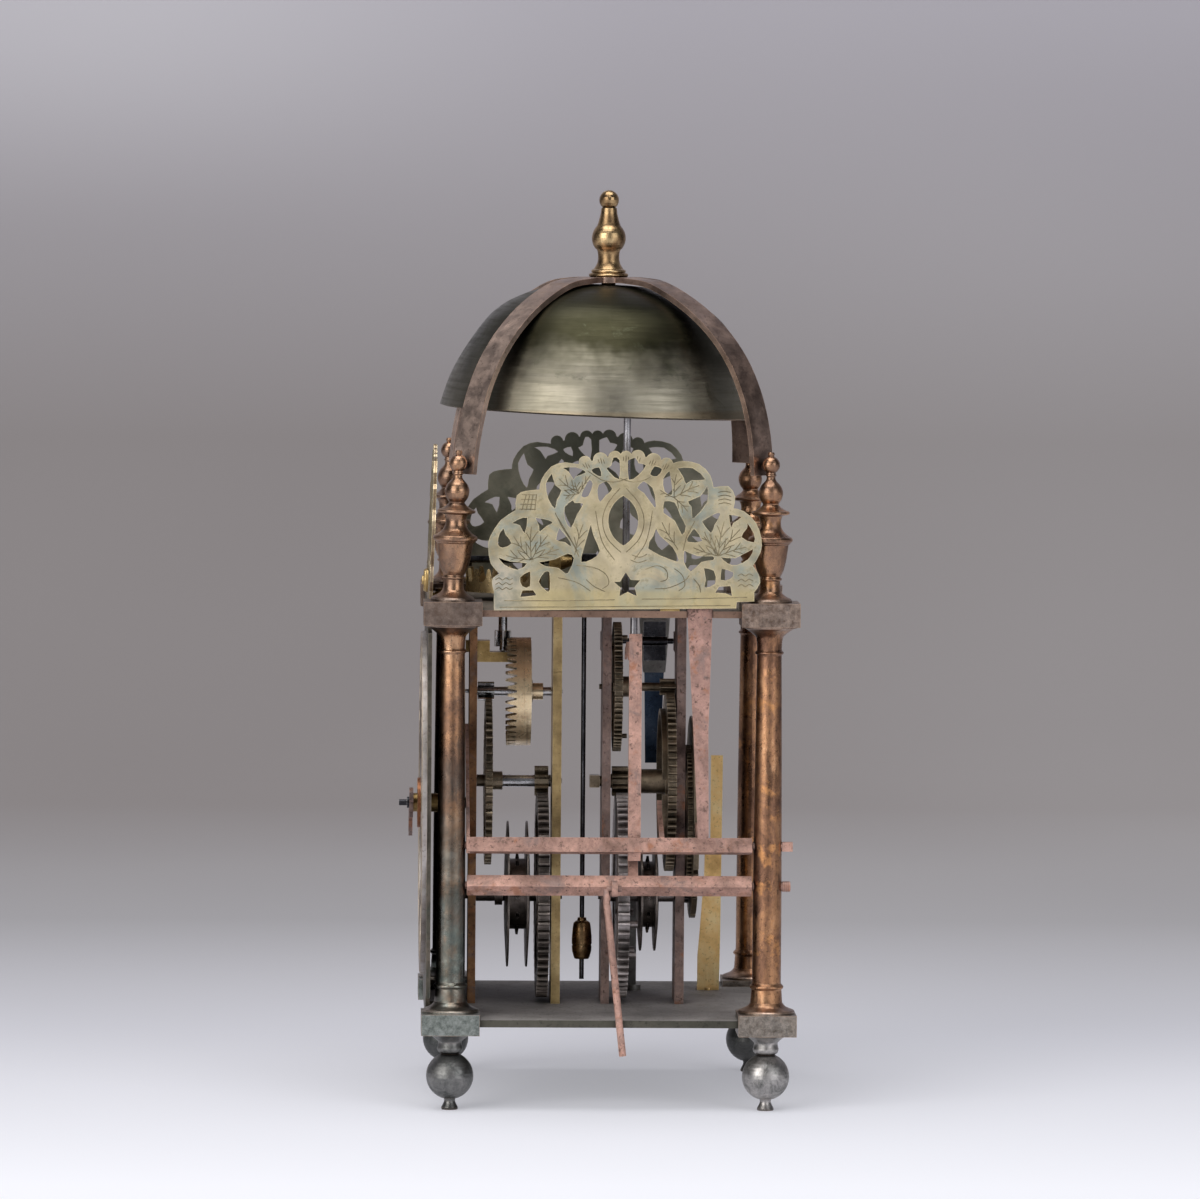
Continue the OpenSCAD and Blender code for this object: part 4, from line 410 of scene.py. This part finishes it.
# The materials, and below them the nodes that wear each
M = {
    "pillar": pillar_metal(),
    "bell": bell_metal(),
    "fret": fret_metal(),
    # The engraving's lines, coloured dark as painted shade inside the cuts
    "fret_cut": worn_metal(
        "fret_cut_line", (0.15, 0.125, 0.075), (0.25, 0.21, 0.13), (0.38, 0.32, 0.20), (0.45, 0.38, 0.24),
        rough=(0.3, 0.5), scale=90, bump=0.1, edge_mix=0.0, grime_and_corner_shade=0.2),
    "rust": rusty_iron("rusty_iron", (0.57, 0.335, 0.265)),
    "rust_spring": rusty_iron("rusty_spring", (0.46, 0.27, 0.22)),
    "rust_dark": rusty_iron("rusty_bar", (0.33, 0.23, 0.20), (0.08, 0.06, 0.055), 0.6),
    "rust_front": rusty_iron("rusty_front_bar", (0.38, 0.19, 0.085), (0.08, 0.042, 0.026), 0.5),
    "contrate": geared_metal(
        "contrate_brass", ((0.66, 0.46, 0.25), (0.95, 0.80, 0.54)), contrate_steel, (0.26, 0.16, 0.08)),
    "second": geared_metal("second_wheel_brass", ((0.12, 0.095, 0.065), (0.36, 0.285, 0.19)), second_steel),
    "crown": geared_metal("crown_wheel_brass", ((0.34, 0.24, 0.11), (0.70, 0.53, 0.28)), crown_steel),
    "strap": worn_metal(
        "strap_brass", (0.14, 0.098, 0.078), (0.32, 0.225, 0.18), (0.50, 0.36, 0.295), (0.85, 0.58, 0.42),
        rough=(0.3, 0.5), scale=55, bump=0.22, edge_mix=0.95,
        drift=("Y", SETBACK - 0.01, SETBACK - 0.05, (0.80, 0.62, 0.52), 0.45)),
    "finial": worn_metal(
        "finial_brass", (0.14, 0.085, 0.045), (0.36, 0.235, 0.12), (0.62, 0.45, 0.24), (0.80, 0.62, 0.36),
        rough=(0.2, 0.42), scale=110, bump=0.12, grime_and_corner_shade=0.95),
    "brass": worn_metal(
        "worn_brass", (0.20, 0.125, 0.05), (0.43, 0.29, 0.115), (0.62, 0.45, 0.21), (0.78, 0.6, 0.32),
        rough=(0.25, 0.48), scale=80, bump=0.12),
    "bar_brass": worn_metal(
        "bar_brass", (0.22, 0.155, 0.075), (0.46, 0.33, 0.155), (0.64, 0.49, 0.25), (0.8, 0.64, 0.36),
        rough=(0.3, 0.5), scale=60, bump=0.45, grain=(0.2, 0.2, 1.0)),
    "dirty_wheel": worn_metal(
        "dirty_wheel", (0.06, 0.05, 0.036), (0.19, 0.15, 0.105), (0.36, 0.285, 0.20), (0.58, 0.49, 0.36),
        rough=(0.32, 0.6), scale=70, bump=0.2, edge_mix=0.8, pits=0.1),
    "pale_wheel": worn_metal(
        "pale_wheel", (0.14, 0.126, 0.12), (0.38, 0.34, 0.33), (0.62, 0.56, 0.55), (0.82, 0.76, 0.74),
        rough=(0.32, 0.55), scale=70, bump=0.2, edge_mix=0.85, pits=0.1),
    "iron_wheel": worn_metal(
        "iron_wheel", (0.055, 0.048, 0.043), (0.16, 0.135, 0.12), (0.30, 0.25, 0.22), (0.56, 0.50, 0.45),
        rough=(0.34, 0.62), scale=70, bump=0.22, edge_mix=0.8, pits=0.15),
    "steel": worn_metal(
        "dark_steel", (0.022, 0.022, 0.025), (0.05, 0.05, 0.056), (0.11, 0.11, 0.12), (0.35, 0.34, 0.34),
        rough=(0.2, 0.42), scale=90, bump=0.1),
    "stem": worn_metal(
        "bright_steel", (0.16, 0.155, 0.16), (0.34, 0.33, 0.34), (0.55, 0.54, 0.55), (0.7, 0.7, 0.72),
        rough=(0.22, 0.4), scale=60, bump=0.1),
    "grey_iron": worn_metal(
        "grey_iron", (0.11, 0.105, 0.10), (0.22, 0.21, 0.20), (0.34, 0.33, 0.31), (0.5, 0.48, 0.45),
        rough=(0.4, 0.65), scale=60, bump=0.25, pits=0.1),
    "bob": worn_metal(
        "bob_brass", (0.07, 0.045, 0.024), (0.28, 0.175, 0.085), (0.60, 0.40, 0.21), (0.7, 0.52, 0.28),
        rough=(0.22, 0.42), scale=120, bump=0.15, grime_and_corner_shade=0.9),
    "blue_steel": worn_metal(
        "blued_steel", (0.02, 0.03, 0.055), (0.05, 0.075, 0.12), (0.12, 0.15, 0.20), (0.3, 0.33, 0.38),
        rough=(0.22, 0.4), scale=50, bump=0.1),
    "dial": worn_metal(
        "dial_brass", (0.04, 0.036, 0.03), (0.10, 0.088, 0.07), (0.2, 0.165, 0.135), (0.30, 0.26, 0.21),
        rough=(0.35, 0.6), scale=45, bump=0.2, patina=(0.06, 0.075, 0.062)),
    "silver": worn_metal(
        "silvered_brass", (0.24, 0.20, 0.18), (0.42, 0.38, 0.36), (0.55, 0.52, 0.50), (0.5, 0.4, 0.28),
        rough=(0.35, 0.55), scale=45, bump=0.15, patina=(0.25, 0.19, 0.13), patina_amount=(0.52, 0.7)),
    "copper": worn_metal(
        "copper_disc", (0.14, 0.055, 0.03), (0.32, 0.14, 0.07), (0.5, 0.25, 0.14), (0.6, 0.36, 0.22),
        rough=(0.35, 0.6), scale=90, bump=0.25, pits=0.2),
    "post_brass": worn_metal(
        "post_brass", (0.58, 0.36, 0.14), (0.90, 0.61, 0.26), (0.95, 0.77, 0.42), (0.95, 0.78, 0.48),
        rough=(0.34, 0.5), scale=50, bump=0.2, grain=(1.0, 1.0, 0.05)),
    "bottom_plate": plate_metal(
        "bottom_plate_iron", (0.36, 0.335, 0.325), (0.16, 0.15, 0.12), (0.05, 0.05, 0.04)),
    "top_plate": plate_metal("top_plate_brass", (0.30, 0.26, 0.21), (0.44, 0.28, 0.20), (0.14, 0.09, 0.07)),
}

LOOKS = {
    "pillar": " ".join(f"{end}_{side}_{piece}" for piece in ("pillar", "foot", "urn")
                       for end in ("front", "rear") for side in ("left", "right")),
    "bell": "bell", "strap": "bell_frame", "finial": "bell_finial",
    "fret": "front_fret right_fret left_fret",
    "rust_spring": "lever_spring", "rust": "pivot_screws detent_arbor hammer_arbor pull_rod",
    "rust_dark": "strike_front_bar strike_rear_bar hour_hand", "rust_front": "front_bar",
    "brass": "fret_fixings escape_potence verge_front_cock verge_back_cock hour_wheel",
    "bar_brass": "middle_bar",
    "contrate": "contrate_wheel", "second": "going_second_wheel", "crown": "crown_wheel",
    "dirty_wheel": "warning_wheel count_wheel locking_wheel",
    "pale_wheel": "strike_great_wheel", "iron_wheel": "going_great_wheel going_pulley strike_pulley bell_nut",
    "bob": "pendulum_bob",
    "steel": "hour_post verge pendulum_rod fly", "stem": "hammer",
    "grey_iron": "blade_spring_block stop_post", "blue_steel": "blade_spring",
    "dial": "dial_plate", "silver": "chapter_ring", "copper": "alarm_disc", "post_brass": "count_bracket",
    "bottom_plate": "bottom_plate", "top_plate": "top_plate",
}
for look, names in LOOKS.items():
    for node_name in names.split():
        node = nodes[node_name]
        node.data.materials.clear()
        node.data.materials.append(M[look])

# Soft edges on every CAD node, in millimetres, by the first word below that its name holds
BEVEL = {"bell": 0.5, "pillar": 0.4, "arbor": 0.35, "plate": 0.3}
PLAIN_BEVEL = 0.16
for node_name, node in nodes.items():
    width = next((w for key, w in BEVEL.items() if key in node_name), PLAIN_BEVEL)
    bevel = node.modifiers.new("edge", "BEVEL")
    bevel.width = width * MM
    bevel.segments = 2
    bevel.limit_method = "ANGLE"
    bevel.angle_limit = math.radians(38)


# Engraving on the frets: thin dark lines laid on each outer face, which stand for the cut ones, their dark
# colour being painted shade inside the cuts. They are drawn in the fret's own plane, across and up, in
# millimetres.
LINE_STEP = 0.6
LINE_R = 0.17
LINE_LIFT = 0.02
LEAF_VEINS = 2


def through(keys):
    """A smooth line through the keys, in short steps."""
    points = []
    for i in range(len(keys) - 1):
        a, b = keys[max(i - 1, 0)], keys[i]
        c, d = keys[i + 1], keys[min(i + 2, len(keys) - 1)]
        count = max(2, int(math.dist(b, c) / LINE_STEP))
        for k in range(count):
            u = k / count
            points.append(tuple(
                0.5 * (2 * b[n] + (c[n] - a[n]) * u + (2 * a[n] - 5 * b[n] + 4 * c[n] - d[n]) * u * u
                       + (3 * b[n] - a[n] - 3 * c[n] + d[n]) * u ** 3) for n in (0, 1)))
    points.append(tuple(keys[-1]))
    return points


def petal(root, tip, width):
    """The lines of one leaf: a middle vein and pairs of side veins that curve towards the tip."""
    root, tip = Vector(root), Vector(tip)
    along = tip - root
    side = Vector((-along.y, along.x)).normalized() * width / 2
    lines = [[root, root + along * 0.5 + side * 0.12, root + along * 0.86]]
    for k in range(LEAF_VEINS):
        start = root + along * (0.2 + 0.26 * k)
        for s in (-1, 1):
            lines.append([start, start + along * 0.17 + side * s * 0.42, start + along * 0.28 + side * s * 0.8])
    return lines


def engraving_lines():
    lines = []
    flowers = [
        ((-38.6, 20.8), [((-51, 23.2), 6.5), ((-47, 32.4), 6), ((-38.4, 37), 7), ((-30.6, 32.6), 6),
                         ((-25, 26), 5)]),
        ((-18.6, 48.2), [((-28.4, 55.6), 7), ((-20.6, 53.8), 5), ((-26.4, 47.6), 5), ((-13, 57), 4)]),
        ((39, 21.8), [((52.6, 26), 6.5), ((49.6, 34.6), 6), ((42, 38.6), 7), ((32.4, 33.6), 6), ((27, 26), 5)]),
        ((20.8, 46.2), [((22, 57.6), 6), ((33, 52), 7), ((27.4, 39.4), 5), ((14, 50), 4)]),
        ((-20.6, 22.6), [((-16.4, 37.6), 6)]), ((22.4, 24.6), [((14.6, 38), 6.5)])]
    for root, leaves in flowers:
        for tip, width in leaves:
            lines += petal(root, tip, width)
    # Ribbons round the almond and stems that cross over it
    for side in (-1, 1):
        ribbon = ((1.2, 50.4), (6.4, 44), (8.6, 36.8), (6.6, 29.4), (1, 23.6))
        lines.append([(-0.3 + side * u, v) for u, v in ribbon])
        lines.append([(side * 15, 57.6), (side * 9, 53.8), (side * 3, 53), (side * -3, 55)])
        lines.append([(side * 11.8, 41), (side * 10.6, 33.6), (side * 8.6, 27), (side * 4, 20.4)])
    # Edges of the stalks
    lines += [[(-28.6, 40.4), (-25.8, 34.6), (-21.4, 27.6), (-18.8, 22)],
              [(-27.4, 38.2), (-22.8, 30.4), (-19.4, 24.4)], [(29.4, 36.4), (26, 30), (24.4, 24)],
              [(33, 30), (35.8, 26.4), (38, 22.4)], [(35.4, 31), (37.4, 26.6), (38.8, 22.4)]]
    # Scrolls and waves above the base
    lines += [[(-20, 18.6), (-12, 17.2), (-7.6, 14.4), (-6.6, 10.6), (-9.2, 8.6)],
              [(-16, 12.6), (-12.6, 9.6), (-8, 7.4)], [(-27.6, 13.4), (-20, 11.4), (-14, 7.6)],
              [(2.4, 20.6), (5.6, 19.4), (9.4, 20.4)], [(3, 22.6), (6.6, 21.6), (9.6, 23)],
              [(8.6, 16.4), (13.6, 18), (17.4, 16), (17.6, 12.4), (14.8, 11.4)],
              [(12.6, 8.4), (18.4, 8.8), (24.6, 11.4), (27, 14)],
              [(20.6, 16.8), (24, 14), (25, 9.6), (22.4, 7.4)], [(28.6, 12.6), (31, 9.6), (31.6, 6.6)]]
    # Waved scales on the lower lobes
    for v in (8.6, 10.6, 12.6):
        lines.append([(-53.6, v), (-52, v + 0.9), (-50.6, v - 0.1), (-49.2, v + 0.9), (-47.6, v),
                      (-46.2, v + 0.8)])
    for v in (9, 11.2, 13.4):
        lines.append([(47, v), (48.6, v + 0.9), (50.2, v), (51.8, v + 0.9), (53.6, v)])
    # Hatching on the upper lobes
    for k in range(4):
        lines.append([(-43.6 + 0.4 * k, 42 + 2 * k), (-36.4, 41.8 + 2 * k)])
        lines.append([(-42.4 + 1.8 * k, 41.4), (-40.4 + 1.4 * k, 48.2)])
    for k in range(4):
        lines.append([(39, 43.4 + 1.6 * k), (42, 43.9 + 1.6 * k), (44.6, 43.2 + 1.6 * k)])
    # Veins in the scallops of the crest
    for u in (-16, -9.6, -3.6, 1, 5.9, 12.4, 17.8):
        top = 64.6 - 0.011 * u * u
        lines += [[(u * 0.93, top - 3.4), (u, top - 0.6)], [(u * 0.93 - 1, top - 3), (u - 1.1, top - 1.2)],
                  [(u * 0.93 + 1, top - 3), (u + 1.1, top - 1.2)]]
    # The border above the lower edge
    lines += [[(-50, 4), (-26, 3.8), (-4, 4)], [(7, 4.2), (26, 4.2), (51, 4.6)],
              [(-52, 1.3), (-20, 1.2), (20, 1.2), (44, 1.2)]]
    return lines


# Where the frets' planes stand, in millimetres
FRET_T = 1.4
PLATE_HALF = 74.4
PLATE_TOP = 209.3
SIDE_RISE = 0.76
RIGHT_SHIFT = 5.1
LEFT_SHIFT = -1.7
LEFT_SCALE = 1.04
FRONT_Y = -75.9
FRONT_DROP = 0.1
LEAN = Matrix.Rotation(math.radians(0.8), 4, "X")
FACING_RIGHT = Matrix(((0, 0, 1, 0), (1, 0, 0, 0), (0, 1, 0, 0), (0, 0, 0, 1)))


def side_plane(shift):
    place = (PLATE_HALF + FRET_T, SETBACK / MM + shift, PLATE_TOP + SIDE_RISE)
    return Matrix.Translation(place) @ LEAN @ FACING_RIGHT


def left_plane():
    mirror = Matrix.Diagonal((-1, 1, 1, 1))
    return mirror @ side_plane(LEFT_SHIFT) @ Matrix.Diagonal((LEFT_SCALE, LEFT_SCALE, 1, 1))


def front_plane():
    place = (0, SETBACK / MM + FRONT_Y + FRET_T, PLATE_TOP - FRONT_DROP)
    return (Matrix.Translation(place) @ Matrix.Rotation(math.radians(88), 4, "X")
            @ Matrix.Translation((0, 0, FRET_T)))


def engrave(name, node_name, plane):
    """Lays the lines on the fret's outer face, only where there is metal under them."""
    mesh = nodes[node_name].data
    metal = BVHTree.FromPolygons([v.co for v in mesh.vertices], [p.vertices for p in mesh.polygons])
    outward = (plane.to_3x3() @ Vector((0, 0, 1))).normalized()
    curve = bpy.data.curves.new(name, "CURVE")
    curve.dimensions = "3D"
    curve.bevel_depth = LINE_R * MM
    curve.bevel_resolution = 1
    curve.use_fill_caps = True
    for keys in engraving_lines():
        run = []
        for u, v in through([tuple(k) for k in keys]) + [(None, None)]:
            place = None
            if u is not None:
                place = (plane @ Vector((u, v, 0))) * MM
                hit = metal.ray_cast(place + outward * MM, -outward, 1.3 * MM)[0]
                place = None if hit is None else hit + outward * LINE_LIFT * MM
            if place is not None:
                run.append(place)
                continue
            if len(run) > 2:
                spline = curve.splines.new("POLY")
                spline.points.add(len(run) - 1)
                for point, spot in zip(spline.points, run):
                    point.co = (*spot, 1)
                spline.points[0].radius = spline.points[-1].radius = 0.35
            run = []
    ob = bpy.data.objects.new(name, curve)
    bpy.context.scene.collection.objects.link(ob)
    ob.data.materials.append(M["fret_cut"])
    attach(ob, "frame")


engrave("right_fret_engraving", "right_fret", side_plane(RIGHT_SHIFT))
engrave("left_fret_engraving", "left_fret", left_plane())
engrave("front_fret_engraving", "front_fret", front_plane())


# Floor and backdrop: a pale sweep that turns up behind the clock, in metres
FLOOR_FRONT = 2.6
FLOOR_BACK = -1.4
BEND_R = 0.9
BEND_STEPS = 12
WALL_TOP = 3.2
SWEEP_HALF = 4.0
GLOW_SHARE = 0.46
CENTRE = Vector((0, 0, 0.19))


def sweep():
    s = Shader("studio_sweep")
    x = s.axis("X")
    z = s.axis("Z")
    # Painted light falloff: the floor is brightest in front and greys towards the back, and the wall is darkest
    # low and lighter high
    floor_light_falloff = s.ramp(s.math("DIVIDE", s.math("ADD", x, 1.4), 2.0, clamp=True),
                        [(0.0, (0.31, 0.285, 0.287)), (0.35, (0.375, 0.365, 0.385)), (0.6, (0.60, 0.60, 0.655)),
                         (0.85, (0.88, 0.885, 0.94))])
    wall_light_falloff = s.ramp(s.math("DIVIDE", z, 0.5, clamp=True),
                       [(0.0, (0.31, 0.285, 0.287)), (0.4, (0.29, 0.265, 0.267)), (1.0, (0.50, 0.48, 0.53))])
    pale = s.mix(s.span(x, FLOOR_BACK + 0.1, FLOOR_BACK), floor_light_falloff, wall_light_falloff)
    # Painted light: a little lighter high on the left and low on the right
    lit_high_left = s.times(s.span(z, 0.33, 0.5), s.span(s.axis("Y"), 0.15, -0.3, 0.0, 0.28))
    lit_low_right = s.times(s.span(z, 0.46, 0.3), s.span(s.axis("Y"), 0.0, 0.45))
    lit_low_right = s.times(lit_low_right, s.span(x, -0.75, -1.2, 0.0, 0.07))
    pale = s.mix(s.math("ADD", lit_high_left, lit_low_right), pale, (0.92, 0.91, 0.95))
    pale = s.mix(s.span(s.noise(1.2, 2, 0.5), 0.3, 0.7, 0.0, 0.05), pale, (0.9, 0.88, 0.9))
    diffuse = s.add("ShaderNodeBsdfDiffuse", Color=pale, Roughness=0.3)
    # The picture and the metal see part of the sweep as it is written, so its shadows stay light
    ray = s.add("ShaderNodeLightPath")
    seen = s.larger(ray.outputs["Is Camera Ray"], ray.outputs["Is Glossy Ray"])
    glow = s.add("ShaderNodeEmission", Color=pale, Strength=1.0)
    both = s.add("ShaderNodeMixShader", i0=s.times(seen, GLOW_SHARE),
                 i1=diffuse.outputs[0], i2=glow.outputs[0])
    s.tree.links.new(both.outputs[0], s.out.inputs["Surface"])
    profile = [(FLOOR_FRONT, 0.0), (0.6, 0.0)]
    for i in range(BEND_STEPS + 1):
        a = math.radians(90 * i / BEND_STEPS)
        profile.append((FLOOR_BACK - BEND_R * math.sin(a), BEND_R - BEND_R * math.cos(a)))
    profile.append((FLOOR_BACK - BEND_R, WALL_TOP))
    verts, faces = [], []
    for px, pz in profile:
        verts += [(px, -SWEEP_HALF, pz), (px, SWEEP_HALF, pz)]
    for i in range(len(profile) - 1):
        faces.append((2 * i, 2 * i + 1, 2 * i + 3, 2 * i + 2))
    mesh = bpy.data.meshes.new("studio_sweep")
    mesh.from_pydata(verts, [], faces)
    for poly in mesh.polygons:
        poly.use_smooth = True
    ob = bpy.data.objects.new("studio_sweep", mesh)
    bpy.context.scene.collection.objects.link(ob)
    ob.data.materials.append(s.mat)
    return ob


sweep()


def softbox(name, place, size, watts, colour):
    """A soft lamp that faces the clock's middle."""
    data = bpy.data.lights.new(name, "AREA")
    data.shape = "RECTANGLE"
    data.size, data.size_y = size
    data.energy = watts
    data.color = colour
    ob = bpy.data.objects.new(name, data)
    ob.location = place
    ob.rotation_euler = (CENTRE - Vector(place)).to_track_quat("-Z", "Y").to_euler()
    bpy.context.scene.collection.objects.link(ob)


softbox("key", (1.75, -1.45, 0.95), (1.7, 1.9), 34, (1.0, 0.985, 0.965))
softbox("fill", (1.85, 1.55, 0.85), (1.5, 1.6), 15, (0.97, 0.98, 1.0))
softbox("top", (0.25, -0.1, 2.0), (1.5, 1.5), 30, (1.0, 1.0, 1.0))

world = bpy.data.worlds.new("studio")
bpy.context.scene.world = world
world.use_nodes = True
world.node_tree.nodes["Background"].inputs["Color"].default_value = (0.60, 0.62, 0.68, 1)
world.node_tree.nodes["Background"].inputs["Strength"].default_value = 0.16

# Camera fitted to the photograph
camera_data = bpy.data.cameras.new("camera")
camera_data.lens = 225
camera_data.sensor_width = 36
camera_data.clip_end = 30
camera = bpy.data.objects.new("camera", camera_data)
bpy.context.scene.collection.objects.link(camera)
YAW, PITCH, ROLL = 88.046, 3.48, 0.45
camera.matrix_world = (Matrix.Translation((3.179, SETBACK - 0.111, 0.4029))
                       @ Matrix.Rotation(math.radians(YAW), 4, "Z")
                       @ Matrix.Rotation(math.radians(90 - PITCH), 4, "X")
                       @ Matrix.Rotation(math.radians(ROLL), 4, "Z"))
bpy.context.scene.camera = camera
bpy.context.scene.view_settings.view_transform = "Standard"
